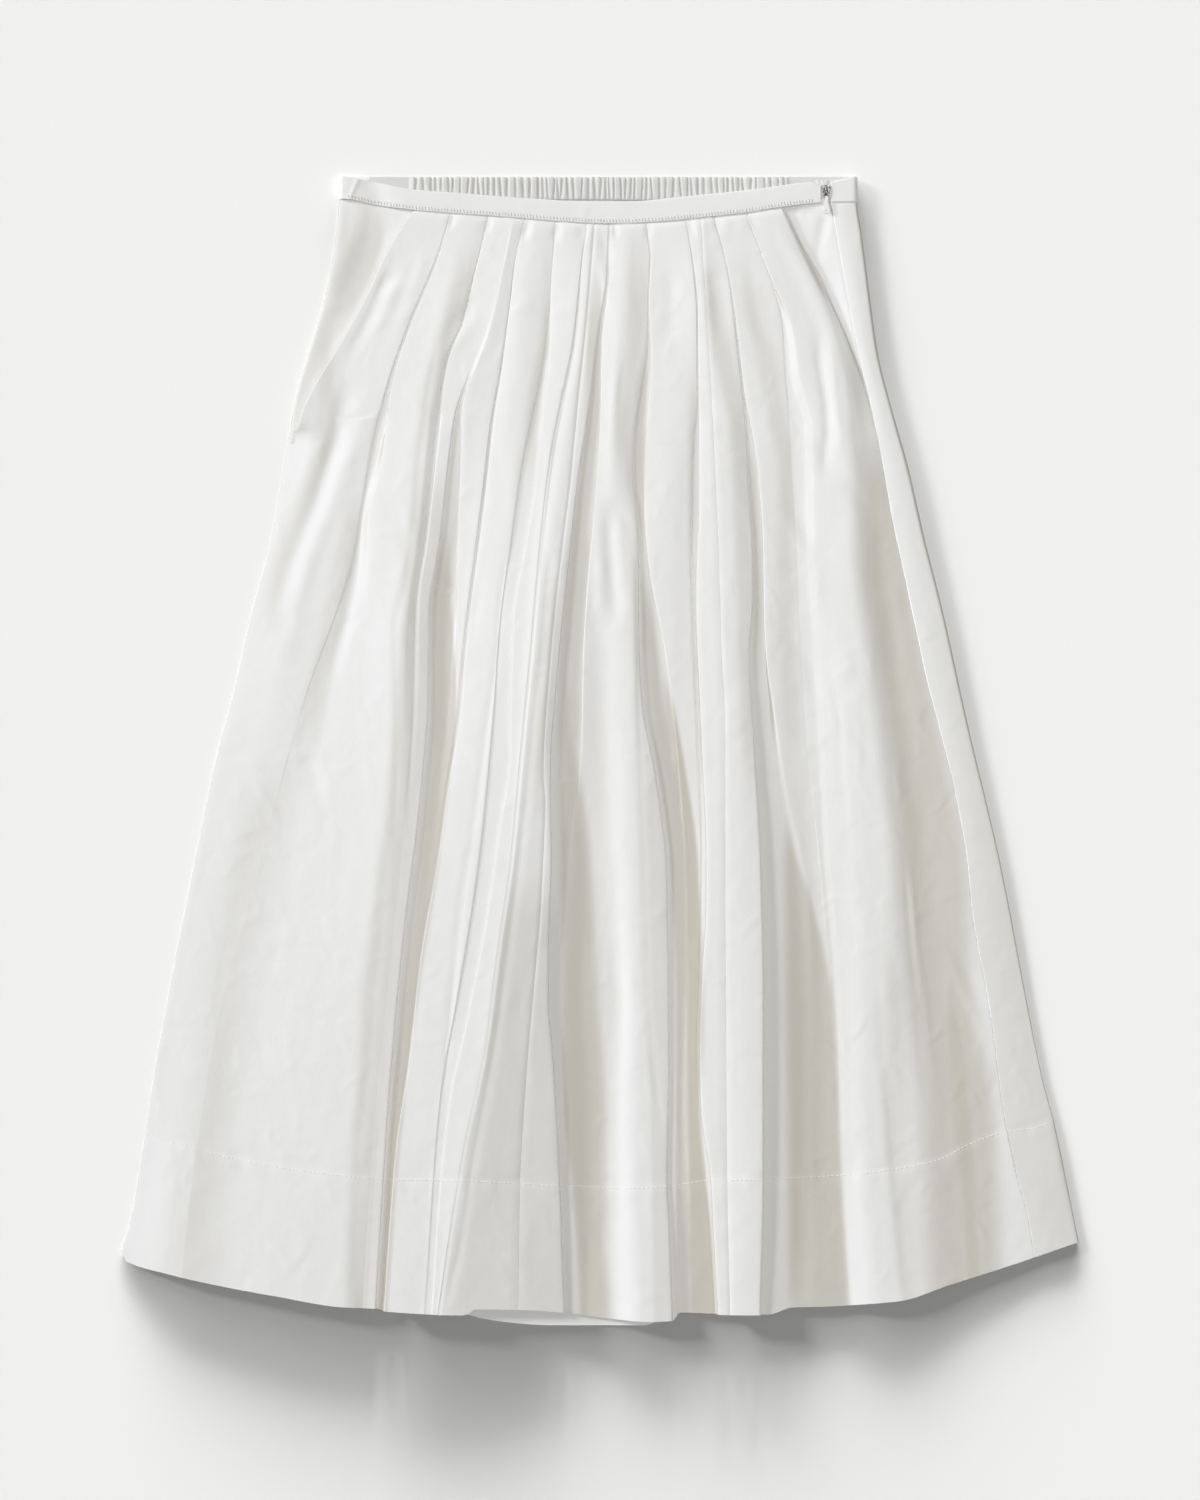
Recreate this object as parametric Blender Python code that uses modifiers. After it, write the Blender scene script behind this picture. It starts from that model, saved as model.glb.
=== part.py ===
"""A pleated midi skirt of crisp white poplin, laid flat on its back with the front up.

X runs to the right across the skirt, Y from the hem (low) to the waist (high) and Z up from the surface that the
skirt lies on. Lengths are metres unless a name ends in _MM or _PX. The courses of folds and seams were read off a
picture of the laid skirt, so their tables hold (row, column) places in that picture, which PX turns into metres.
"""

import math
from typing import NamedTuple

import bmesh
import bpy

# Driving dimensions.
LENGTH = 0.820  # top edge of the back waistband to the lowest point of the hem
CLOTH = 0.0011  # wall of one layer of cloth
BAND = 0.0022  # wall of a waistband, which is folded double over its seam allowances
SEAM_GAP = 0.0003  # kept between two pieces that are sewn together
BAND_GAP = 0.0005  # kept below a waistband, whose edge has fewer points than the pleats sewn to it
TURN = 0.0018  # height that a folded-over layer of cloth takes, middle to middle
HIDDEN_REACH_PX = 13  # how far a hip piece goes on under the pocket mouth
BAND_ENDS_PX = (820.5, 832.5)  # columns of the two waistband ends beside the zip
RUCHED_PX = (411, 787)  # columns between which elastic gathers the back waistband
RUCHES = 42
RUCHE_HEIGHT = 0.0009

TAPE_SIZE = (0.0185, 0.0135, 0.0010)
TAPE_ROW = 188.5  # row of the picture at the middle of the tape that shows
SLIDER_SIZE = (0.0070, 0.0092, 0.0012)
SLIDER_ROW = 191
BRIDGE_BAR = 0.0008
TAB_LENGTH = 0.0140
TAB_WIDTH = 0.0054
TAB_THICKNESS = 0.0009

MM = 0.001
TOP_ROW, LOW_ROW = 176, 1326  # rows of the picture at the two ends of LENGTH
MIDDLE_COLUMN, MIDDLE_ROW = 600, 751
PX = LENGTH / (LOW_ROW - TOP_ROW)

# Heights and laps below are given at five levels, as fractions of the way from the waist seam to the hem.
LEVELS = (0.0, 0.19, 0.38, 0.62, 1.0)  # waist, hip, thigh, knee, hem

# Fractions of the way from waist to hem at which the cloth's sections stand.
FRONT_ROWS = (0.0, 0.035, 0.075, 0.118, 0.160, 0.2085, 0.2125, 0.262, 0.32, 0.39, 0.47, 0.56, 0.65, 0.74, 0.82, 0.88,
              0.94, 1.0)
POCKET_END = 0.2085  # the last section on which the pocket mouths stand open

# Seams and edges that run across the skirt, as (column, row) places.
FRONT_WAIST = ((330, 199), (346, 199), (372, 204), (414, 210), (451, 213), (508, 217), (557, 221), (610, 223.5),
               (653, 222), (691, 218.5), (744, 213), (782, 207), (833, 202), (870, 201.5))
FRONT_HEM = ((110, 1250), (121, 1253), (126, 1262), (166, 1274), (219, 1286), (279, 1297), (339, 1307), (375, 1309),
             (384, 1311), (465, 1315), (475, 1309), (531, 1310), (620, 1320), (650, 1322), (673, 1321), (680, 1313),
             (739, 1315), (769, 1315), (792, 1308), (829, 1307), (872, 1304), (902, 1301), (948, 1286), (1011, 1266),
             (1079, 1243), (1090, 1240))
BACK_WAIST = ((330, 199), (600, 199.5), (833, 202), (870, 201.5))
BACK_HEM = ((110, 1250), (121, 1253), (126, 1262), (166, 1273), (279, 1293), (375, 1301), (450, 1311), (491, 1321),
            (550, 1326), (650, 1326), (680, 1312), (760, 1305), (900, 1292), (948, 1284), (1011, 1266),
            (1079, 1243), (1090, 1240))
FRONT_BAND_TOP = ((330, 176), (345, 176), (359, 178.5), (387, 184), (413, 189), (451, 192), (489, 195), (530, 198),
                  (576, 200.5), (628, 201), (685, 196), (757, 188.6), (808, 182), (BAND_ENDS_PX[0], 181.5))
BACK_BAND_TURNED_TOP = ((BAND_ENDS_PX[1], 181.5), (846, 178), (855, 176), (870, 176))

# Edges that run down the skirt, as (row, column) places.
LEFT_OUTLINE = ((176, 341), (198, 339), (226, 337), (288, 327), (402, 295), (544, 270), (611, 252), (686, 235),
                (754, 217), (839, 199), (1080, 153), (1133, 145), (1223, 130), (1253, 121))
RIGHT_OUTLINE = ((176, 855.5), (206, 857.5), (236, 862), (299, 870), (354, 878), (402, 890), (470, 909), (540, 925),
                 (603, 941), (729, 969), (856, 999), (1080, 1043), (1121, 1054), (1193, 1069), (1243, 1079))
LEFT_POCKET = ((209, 415), (220, 406), (254, 385), (295, 366), (348, 337), (389, 312), (415, 300), (440, 295))
RIGHT_POCKET = ((206, 781), (219, 787), (243, 799), (275, 818), (309, 833), (340, 847), (373, 859), (400, 868),
                (420, 873), (450, 879))
LEFT_UNDER_SEAM = ((170, 373), (199, 366), (402, 324), (544, 291), (686, 259), (839, 226), (1080, 180), (1253, 148))
SIDE_SEAM = ((202, 831), (241, 838), (305, 849), (350, 858), (405, 871), (454, 881), (521, 893), (572, 904),
             (628, 916), (679, 927), (729, 940), (786, 954), (856, 967), (915, 973), (1015, 991), (1107, 1003),
             (1168, 1015), (1221, 1029), (1262, 1035))


class Pleat(NamedTuple):
    """A knife pleat whose fold faces left. Tracks are (row, column) places and lap and z are mm at each of LEVELS.

    lap is how far the folded layer reaches back under the edge, and a negative lap is a pleat that has opened.
    shoulder is where the cloth on its left drops to the floor of the pleat's groove. The cloth lies smooth above
    the fraction at which the pleat opens.
    """

    name: str
    shoulder: tuple
    edge: tuple
    lap: tuple
    shoulder_z: tuple
    floor_z: tuple
    edge_z: tuple
    opens: float = -1.0


class Crease(NamedTuple):
    """A soft ridge, valley or seam along the skirt, with its height in mm at each of LEVELS."""

    name: str
    track: tuple
    z: tuple


def beside(track, shift):
    """The same track, shift columns further right."""
    return tuple((row, column + shift) for row, column in track)


PLEAT_2_EDGE = ((220, 488), (273, 475), (323, 463), (358, 449), (386, 444), (436, 439), (480, 434), (540, 428),
                (600, 420), (703, 418), (860, 406), (1000, 391), (1150, 377), (1310, 367))
PLEAT_3_EDGE = ((222, 525), (257, 516), (305, 510), (367, 502), (421, 493), (485, 486), (541, 479), (601, 471),
                (652, 465), (718, 459), (789, 448), (860, 438), (950, 422), (1068, 408), (1150, 396), (1310, 384))
PLEAT_5_EDGE = ((225, 587), (264, 582), (345, 574), (389, 566), (462, 553), (550, 543), (662, 533), (764, 523),
                (860, 514), (950, 501), (1050, 488), (1150, 467), (1310, 442))

# What the front holds from its left edge to its right, in order.
FRONT_FOLDS = (
    Crease("left_flank", ((210, 428), (300, 380), (424, 320), (600, 292), (860, 236), (1150, 172), (1300, 150)),
           (6.5, 7.0, 7.0, 6.5, 5.5)),
    Pleat("pleat_1",
          shoulder=((214, 446), (300, 412), (421, 372), (500, 347), (600, 322), (700, 300), (800, 276), (900, 250),
                    (1000, 222), (1150, 196), (1310, 178)),
          edge=((214, 451), (263, 436), (322, 412), (384, 392), (474, 380), (530, 368), (600, 370), (680, 366),
                (770, 358), (880, 344), (950, 328), (1050, 304), (1150, 288), (1310, 272)),
          lap=(11, 8, -16, -50, -48),
          shoulder_z=(5.6, 6.5, 7.0, 5.5, 5.0), floor_z=(2.6, 2.8, 4.5, 4.2, 4.2), edge_z=(6.2, 8.6, 10.5, 12, 9)),
    Crease("panel_1", ((225, 470), (339, 440), (392, 427), (452, 420), (513, 415), (591, 404), (654, 397), (785, 394),
                       (860, 386), (950, 378), (1050, 369), (1150, 358), (1310, 350)),
           (6.3, 8.2, 8.6, 8.8, 8.0)),
    Pleat("pleat_2", shoulder=beside(PLEAT_2_EDGE, -5), edge=PLEAT_2_EDGE, lap=(11, 5, -2, -2, -2),
          shoulder_z=(5.6, 7.2, 8.8, 9.6, 9.0), floor_z=(2.6, 3.0, 8.8, 9.8, 9.2), edge_z=(6.2, 8.0, 9.2, 10.2, 9.4)),
    Pleat("pleat_2_split",
          shoulder=((222, 507), (330, 482), (418, 453), (470, 447), (528, 441), (556, 437), (609, 429), (703, 428),
                    (744, 425), (826, 417), (915, 406), (1000, 397), (1068, 391), (1150, 385), (1310, 375)),
          edge=((222, 513), (330, 490), (418, 461), (470, 460), (528, 458), (609, 457), (660, 454), (718, 451),
                (789, 441), (860, 432), (950, 417), (1068, 403), (1150, 392), (1310, 380.5)),
          lap=(-2, 2, 0, -4, -2),
          shoulder_z=(6.4, 8.2, 9.4, 10.4, 9.4), floor_z=(3.0, 3.0, 3.0, 3.0, 3.0), edge_z=(6.4, 8.2, 6.6, 3.2, 3.2),
          opens=0.165),
    Pleat("pleat_3", shoulder=beside(PLEAT_3_EDGE, -3), edge=PLEAT_3_EDGE, lap=(11, 9, 9, 10, 8),
          shoulder_z=(5.6, 7.4, 5.6, 3.2, 3.2), floor_z=(2.6, 2.8, 2.8, 3.0, 3.0), edge_z=(6.2, 8.6, 11, 14.5, 13)),
    Crease("crest_3", ((222, 535), (431, 503), (544, 492), (662, 477), (764, 462), (860, 451), (950, 437), (1050, 425),
                       (1150, 415), (1310, 402)),
           (6.4, 9.4, 12.6, 16.5, 15)),
    Crease("panel_3", ((222, 545), (431, 519), (544, 508), (662, 493), (764, 480), (860, 468), (950, 457), (1050, 445),
                       (1150, 432), (1310, 420)),
           (6.2, 8.6, 11, 13.5, 14)),
    Pleat("pleat_4",
          shoulder=((225, 551), (267, 549), (305, 546), (333, 541), (381, 535), (425, 528), (469, 521), (535, 512),
                    (622, 500), (707, 494), (826, 483), (903, 473), (1000, 457), (1100, 440), (1310, 425)),
          edge=((225, 556), (286, 551), (349, 549), (403, 544), (447, 539), (491, 535), (544, 526), (622, 513),
                (707, 510.5), (754, 510), (826, 500), (910, 488), (970, 477), (1030, 465), (1100, 450), (1180, 441),
                (1310, 432)),
          lap=(11, 4.5, -4, -5, -3),
          shoulder_z=(5.6, 7.2, 8.2, 10.5, 13.4), floor_z=(2.6, 2.8, 6.5, 10, 13.2),
          edge_z=(6.2, 8.6, 12.5, 15, 14.6)),
    Crease("crest_4", ((225, 567), (431, 547), (544, 533), (662, 522), (764, 516), (860, 507), (950, 494), (1050, 476),
                       (1150, 454), (1310, 437)),
           (6.4, 9.2, 13.6, 17, 15)),
    Pleat("pleat_5", shoulder=beside(PLEAT_5_EDGE, -4), edge=PLEAT_5_EDGE, lap=(5, 7, -1, -1, -1),
          shoulder_z=(5.6, 7.6, 12.8, 16.6, 14.8), floor_z=(2.6, 2.8, 12.6, 16.6, 14.6),
          edge_z=(6.2, 9.2, 13.8, 17, 14.7)),
    Crease("crest_5", ((225, 591), (345, 580), (431, 567), (544, 551), (662, 541), (764, 530), (860, 521), (950, 508),
                       (1050, 494), (1150, 476), (1310, 450)),
           (6.3, 9.8, 13.4, 16.4, 14.2)),
    Crease("left_gore_seam", ((225, 594.5), (318, 587), (412, 577), (484, 570), (556, 561), (662, 550), (775, 543),
                              (800, 545), (860, 543), (915, 540), (975, 535), (1030, 530), (1125, 523), (1180, 520),
                              (1310, 518)),
           (6.0, 9.0, 10.5, 10.5, 9.0)),
    Pleat("pleat_6",
          shoulder=((225, 598), (286, 596), (318, 592), (344, 589), (412, 585), (484, 577), (556, 569), (662, 558),
                    (775, 550), (860, 551), (950, 548), (1000, 548), (1050, 552), (1150, 558), (1310, 564)),
          edge=((225, 611), (280, 609), (344, 602), (418, 600), (506, 594), (601, 586), (652, 583), (744, 581),
                (860, 573), (950, 570), (1000, 568), (1050, 568), (1150, 572), (1310, 580)),
          lap=(10, 8, 7, 1.5, -4),
          shoulder_z=(5.4, 8.0, 9.6, 9.6, 6.5), floor_z=(2.6, 2.8, 3.0, 3.0, 3.0), edge_z=(6.2, 8.8, 9.5, 6.8, 3.6)),
    Crease("slope_6", ((225, 619), (431, 606), (550, 599), (703, 602), (860, 606), (950, 610), (1000, 612), (1050, 605),
                       (1150, 603), (1310, 606)),
           (6.4, 9.6, 12, 11, 7)),
    Crease("crest_6", ((225, 630), (344, 620), (431, 613), (544, 614), (609, 620), (703, 622), (860, 627), (1000, 631),
                       (1200, 632), (1310, 636)),
           (6.4, 10.4, 15.5, 20, 18)),
    Crease("panel_6", ((225, 637), (339, 633), (389, 621), (433, 621), (484, 626), (548, 630), (683, 634), (744, 638),
                       (860, 645), (1000, 650), (1150, 655), (1310, 657)),
           (6.2, 9.6, 13, 17, 16)),
    Pleat("pleat_7",
          shoulder=((225, 643), (299, 644), (344, 642), (389, 636), (440, 632), (484, 632), (506, 636), (548, 638),
                    (640, 638.5), (703, 642), (769, 654), (815, 661), (858, 666), (950, 668), (1068, 669),
                    (1180, 667), (1221, 669), (1310, 672)),
          edge=((225, 647), (260, 651), (299, 649), (356, 651), (433, 646), (499, 644), (528, 645), (575, 650),
                (642, 663), (713, 673), (785, 680), (860, 686), (1000, 689), (1100, 686), (1200, 692), (1310, 698)),
          lap=(11, 8, 6, -2, -3),
          shoulder_z=(5.6, 7.2, 10, 14, 13), floor_z=(2.6, 2.8, 3.0, 3.0, 3.0), edge_z=(6.2, 9.2, 10, 5.4, 3.3)),
    Crease("panel_7", ((225, 664), (431, 672), (544, 672), (662, 681), (764, 690), (860, 695), (1000, 694),
                       (1100, 692), (1200, 700), (1310, 706)),
           (6.4, 9.8, 9.8, 5.6, 3.3)),
    Pleat("pleat_8",
          shoulder=((224, 683), (318, 694), (397, 696), (442, 692), (560, 690), (640, 692), (750, 697), (860, 701),
                    (960, 699), (1060, 696), (1140, 702), (1240, 710), (1310, 714)),
          edge=((224, 687), (267, 694), (318, 698), (505, 699), (553, 697), (600, 696), (683, 699), (750, 702),
                (860, 706.5), (915, 706), (960, 703), (1060, 700), (1107, 701), (1180, 711), (1240, 714),
                (1310, 718)),
          lap=(9, 8, 8, 8, 6),
          shoulder_z=(5.6, 7.4, 7.6, 5.0, 3.3), floor_z=(2.6, 2.8, 3.0, 3.0, 3.0), edge_z=(6.2, 9.2, 12, 14.5, 14)),
    Crease("right_gore_seam", ((224, 701), (431, 713), (603, 720), (645, 721), (729, 725), (845, 725), (1180, 727),
                               (1310, 730)),
           (6.4, 10, 14, 16.5, 16)),
    Crease("panel_8", ((225, 706), (344, 722), (431, 730), (550, 736), (650, 737), (750, 740), (860, 744), (1000, 747),
                       (1310, 746)),
           (6.2, 9.6, 13.4, 15.5, 14.5)),
    Pleat("pleat_9",
          shoulder=((221, 711), (286, 726), (344, 734), (386, 740), (426, 744), (489, 748), (560, 752), (603, 752),
                    (650, 749), (750, 754), (856, 760), (992, 763), (1175, 763), (1310, 760)),
          edge=((221, 715), (248, 723), (286, 731), (344, 739), (394, 744.5), (432, 752), (473, 758), (545, 763),
                (614, 764), (656, 766), (704, 773), (750, 780), (793, 787), (851, 800), (900, 808), (1000, 812),
                (1310, 812)),
          lap=(11, 7, 4, -12, -14),
          shoulder_z=(5.6, 8.0, 11, 12.5, 12), floor_z=(2.6, 3.0, 3.2, 3.4, 3.0), edge_z=(6.2, 9.2, 10, 7.0, 3.8)),
    Crease("panel_9", ((225, 733), (344, 757), (431, 769), (550, 779), (650, 786), (750, 796), (860, 812), (1000, 822),
                       (1310, 824)),
           (6.2, 8.2, 9.6, 7.6, 4.4)),
    Pleat("pleat_10",
          shoulder=((219, 744), (284, 766), (338, 772), (406, 784), (453, 790), (550, 796), (650, 801), (750, 808),
                    (860, 819), (1000, 828), (1310, 832)),
          edge=((219, 748), (247, 759), (284, 774), (322, 791), (344, 796), (378, 801), (402, 808), (426, 814),
                (553, 816), (650, 822), (750, 826), (860, 831), (950, 838), (1050, 842), (1150, 842), (1250, 847),
                (1310, 851)),
          lap=(11, -8, -7, -5, -5),
          shoulder_z=(5.6, 6.8, 8.6, 7.8, 4.6), floor_z=(2.6, 6.4, 8.4, 8.0, 5.0), edge_z=(6.2, 10, 12.5, 14, 13)),
    Crease("crest_10", ((219, 765), (284, 798), (344, 822), (431, 831), (553, 834), (650, 843), (750, 853), (860, 860),
                        (1050, 860), (1150, 862), (1310, 874)),
           (6.2, 10, 14, 17, 16)),
    Crease("panel_10", ((219, 773), (284, 808), (344, 836), (400, 847), (431, 850), (548, 855), (666, 868), (771, 880),
                        (856, 891), (950, 889), (1050, 880), (1150, 886), (1310, 901)),
           (6.0, 8.0, 10, 12.5, 12)),
    Crease("right_valley", ((219, 777), (284, 815), (344, 843), (400, 857), (431, 862), (550, 878), (650, 893),
                            (750, 908), (835, 922), (1000, 940), (1100, 952), (1310, 966)),
           (5.8, 5.8, 5.4, 5.0, 5.0)),
)


def smooth(places, values, at):
    """Reads a smooth curve through the values at the places, with no overshoot between them."""
    if at <= places[0] or len(places) == 1:
        return values[0]
    if at >= places[-1]:
        return values[-1]
    steps = [b - a for a, b in zip(places, places[1:])]
    slopes = [(b - a) / step for a, b, step in zip(values, values[1:], steps)]
    tangents = [slopes[0]]
    for before, after in zip(slopes, slopes[1:]):
        tangents.append(0.0 if before * after <= 0 else 2 * before * after / (before + after))
    tangents.append(slopes[-1])
    index = max(i for i, place in enumerate(places[:-1]) if place <= at)
    step = steps[index]
    t = (at - places[index]) / step
    return (values[index] * (1 + 2 * t) * (1 - t) ** 2 + tangents[index] * step * t * (1 - t) ** 2
            + values[index + 1] * t * t * (3 - 2 * t) + tangents[index + 1] * step * t * t * (t - 1))


def along(track, place):
    """The track's other coordinate at this place."""
    return smooth([first for first, _ in track], [second for _, second in track], place)


def level(values, fraction):
    """A length in metres, from millimetres given at each of LEVELS."""
    return smooth(LEVELS, values, fraction) * MM


def across(column):
    return (column - MIDDLE_COLUMN) * PX


def up(row):
    return (MIDDLE_ROW - row) * PX


class Sheet(NamedTuple):
    """The two edges between which a part of the skirt is laid out in rows."""

    waist: tuple
    hem: tuple

    def row(self, fraction, column):
        top = along(self.waist, column)
        return top + (along(self.hem, column) - top) * fraction

    def column(self, track, fraction):
        """Where a track down the skirt crosses the row at this fraction of the way to the hem."""
        column = along(track, 223 + 1100 * fraction)
        for _ in range(8):
            column = along(track, self.row(fraction, column))
        return column


FRONT = Sheet(FRONT_WAIST, FRONT_HEM)
BACK = Sheet(BACK_WAIST, BACK_HEM)


class Corner(NamedTuple):
    """A corner of a section, kept as one point, or cut back to two points that lie at most reach from it."""

    x: float
    z: float
    reach: float | None = None


def softened(corners):
    """The section's points with each corner cut back along both of its sides, and the index of its first point."""
    points = []
    firsts = []
    last = len(corners) - 1
    for i, (x, z, reach) in enumerate(corners):
        firsts.append(len(points))
        if i in (0, last) or reach is None:
            points.append((x, z))
            continue
        for other in (corners[i - 1], corners[i + 1]):
            away = math.hypot(other.x - x, other.z - z)
            share = min(reach, 0.42 * away) / away
            points.append((x + (other.x - x) * share, z + (other.z - z) * share))
    return points, firsts


OPENING = 0.035  # fraction of the length over which a pleat opens, to each side of the place where it opens
SOFT = 0.004  # reach of the cut on a soft ridge
FOLD = 0.0005  # reach of the cut on a pressed fold
SIDE_TURN = (1.9, 1.7, 2.1, 2.5, 2.6)  # radius in mm of the turn at the left and right edges of the skirt
HIP_TURN = (1.4, 1.2, 1.2, 1.2, 1.2)  # the same where the skirt is a hip piece


def side_height(fraction):
    """Height of the top layer where it meets the turn at the right edge, which the side seam shares."""
    return CLOTH / 2 + 2 * level(SIDE_TURN, fraction)


def turn(x, low, radius, side):
    """Five points round the edge of the skirt, from the lower layer to the upper. side is -1 at the left edge."""
    centre = x - side * radius
    angles = [math.radians(a) for a in (-90, -45, 0, 45, 90)]
    return [Corner(centre + side * radius * math.cos(a), low + radius * (1 + math.sin(a))) for a in angles]


def pleat_corners(pleat, fraction):
    """Down into the pleat's groove, under its edge, back to the edge and up onto the panel that it carries."""
    shoulder = across(FRONT.column(pleat.shoulder, fraction))
    edge = across(FRONT.column(pleat.edge, fraction))
    floor = level(pleat.floor_z, fraction)
    edge_z = level(pleat.edge_z, fraction)
    shoulder_z = level(pleat.shoulder_z, fraction)
    mouth = edge - shoulder
    foot = shoulder + 0.25 * mouth
    inner = max(edge + level(pleat.lap, fraction), foot + 0.35 * mouth)
    step = min(TURN, (edge_z - floor) / 2)
    reach = min(FOLD, 0.3 * step)
    folded = [
        Corner(shoulder, shoulder_z, 0.3 * mouth),
        Corner(foot, floor),
        Corner(inner, floor, reach),
        Corner(inner, floor + step, reach),
        Corner(edge, edge_z - step, reach),
        Corner(edge, edge_z, reach),
    ]
    open_share = smooth((pleat.opens - OPENING, pleat.opens + OPENING), (0.0, 1.0), fraction)
    corners = []
    for i, corner in enumerate(folded):
        share = i / (len(folded) - 1)
        smooth_x = shoulder + mouth * share
        smooth_z = shoulder_z + (edge_z - shoulder_z) * share
        corners.append(Corner(smooth_x + (corner.x - smooth_x) * open_share,
                              smooth_z + (corner.z - smooth_z) * open_share, corner.reach))
    return corners


def front_sections():
    """Rows of the front from the left under seam to the right, with the index of the first point of each fold."""
    rows = []
    marks = {}
    for fraction in FRONT_ROWS:
        wraps = fraction > POCKET_END
        if wraps:
            edge_column = FRONT.column(LEFT_OUTLINE, fraction)
            radius = level(SIDE_TURN, fraction)
            low = CLOTH / 2
            start_column = FRONT.column(LEFT_UNDER_SEAM, fraction)
        else:
            edge_column = FRONT.column(LEFT_POCKET, fraction)
            radius = TURN / 2
            low = level((6.2, 7.0, 7.0, 7.0, 7.0), fraction) - TURN
            start_column = edge_column + HIDDEN_REACH_PX
        corners = [Corner(across(start_column), low)]
        corners += turn(across(edge_column), low, radius, -1)
        for fold in FRONT_FOLDS:
            if isinstance(fold, Pleat):
                corners += pleat_corners(fold, fraction)
                continue
            marks[fold.name] = len(corners)
            reach = None if fold.name.endswith("seam") else SOFT
            corners.append(Corner(across(FRONT.column(fold.track, fraction)), level(fold.z, fraction), reach))
        seam = SIDE_SEAM if wraps else RIGHT_POCKET
        end_z = side_height(fraction) if wraps else level((5.6, 5.4, 5.4, 5.4, 5.4), fraction)
        corners.append(Corner(across(FRONT.column(seam, fraction)) - SEAM_GAP / 2, end_z))
        points, firsts = softened(corners)
        rows.append([(x, up(FRONT.row(fraction, x / PX + MIDDLE_COLUMN)), z) for x, z in points])
    return rows, {name: firsts[corner] for name, corner in marks.items()}


def new_material(name, colour, roughness, metallic=0.0):
    material = bpy.data.materials.new(name)
    material.use_nodes = True
    shader = material.node_tree.nodes["Principled BSDF"]
    shader.inputs["Base Color"].default_value = (*colour, 1.0)
    shader.inputs["Roughness"].default_value = roughness
    shader.inputs["Metallic"].default_value = metallic
    return material


def new_object(name, mesh, material, collection):
    mesh.name = name
    mesh.materials.append(material)
    piece = bpy.data.objects.new(name, mesh)
    collection.objects.link(piece)
    return piece


def sewn_cloth(name, rows, wall, material, collection):
    """A wall of cloth through rows of points, which all hold as many points."""
    cloth = bmesh.new()
    grid = [[cloth.verts.new(point) for point in row] for row in rows]
    for upper, lower in zip(grid, grid[1:]):
        for a, b, c, d in zip(upper, lower, lower[1:], upper[1:]):
            cloth.faces.new((a, b, c, d))
    mesh = bpy.data.meshes.new(name)
    cloth.to_mesh(mesh)
    cloth.free()
    piece = new_object(name, mesh, material, collection)
    solidify = piece.modifiers.new("Cloth thickness", "SOLIDIFY")
    solidify.thickness = wall
    solidify.offset = 0
    solidify.use_even_offset = True
    solidify.use_quality_normals = True
    return piece


def split_at(row, index):
    """A row in two, parted by the seam gap at the point of this index."""
    x, y, z = row[index]
    left = row[:index] + [(x - SEAM_GAP / 2, y, z)]
    right = [(x + SEAM_GAP / 2, y, z)] + row[index + 1:]
    return left, right


def make_front(material, collection):
    rows, marks = front_sections()
    left_seam = marks["left_gore_seam"]
    right_seam = marks["right_gore_seam"] - left_seam
    left_rows, centre_rows, right_rows = [], [], []
    for row in rows:
        left, rest = split_at(row, left_seam)
        centre, right = split_at(rest, right_seam)
        left_rows.append(left)
        centre_rows.append(centre)
        right_rows.append(right)
    sewn_cloth("front_gore_left", left_rows, CLOTH, material, collection)
    sewn_cloth("front_gore_centre", centre_rows, CLOTH, material, collection)
    sewn_cloth("front_gore_right", right_rows, CLOTH, material, collection)


def make_back(material, collection):
    """The back lies flat from the seam under the left edge, and comes round the right edge to the side seam."""
    rows = []
    for fraction in FRONT_ROWS:
        left = across(BACK.column(LEFT_UNDER_SEAM, fraction)) + SEAM_GAP
        right = across(BACK.column(RIGHT_OUTLINE, fraction))
        seam = across(BACK.column(SIDE_SEAM, fraction)) + SEAM_GAP / 2
        radius = level(SIDE_TURN, fraction)
        low = CLOTH / 2
        flat = [Corner(left + (right - radius - left) * share, low) for share in (0, 0.25, 0.5, 0.75)]
        corners = flat + turn(right, low, radius, 1)
        middle = (right - radius + seam) / 2
        corners += [Corner(middle, side_height(fraction) + 0.4 * MM), Corner(seam, side_height(fraction))]
        rows.append([(x, up(BACK.row(fraction, x / PX + MIDDLE_COLUMN)), z) for x, z, _ in corners])
    sewn_cloth("back_panel", rows, CLOTH, material, collection)


HIP_ROWS = (0.0, 0.05, 0.10, 0.15, 0.2065)
HIP_Z = (2.6, 2.7, 2.7, 2.7, 2.7)  # height in mm of a hip piece's hidden end


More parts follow.
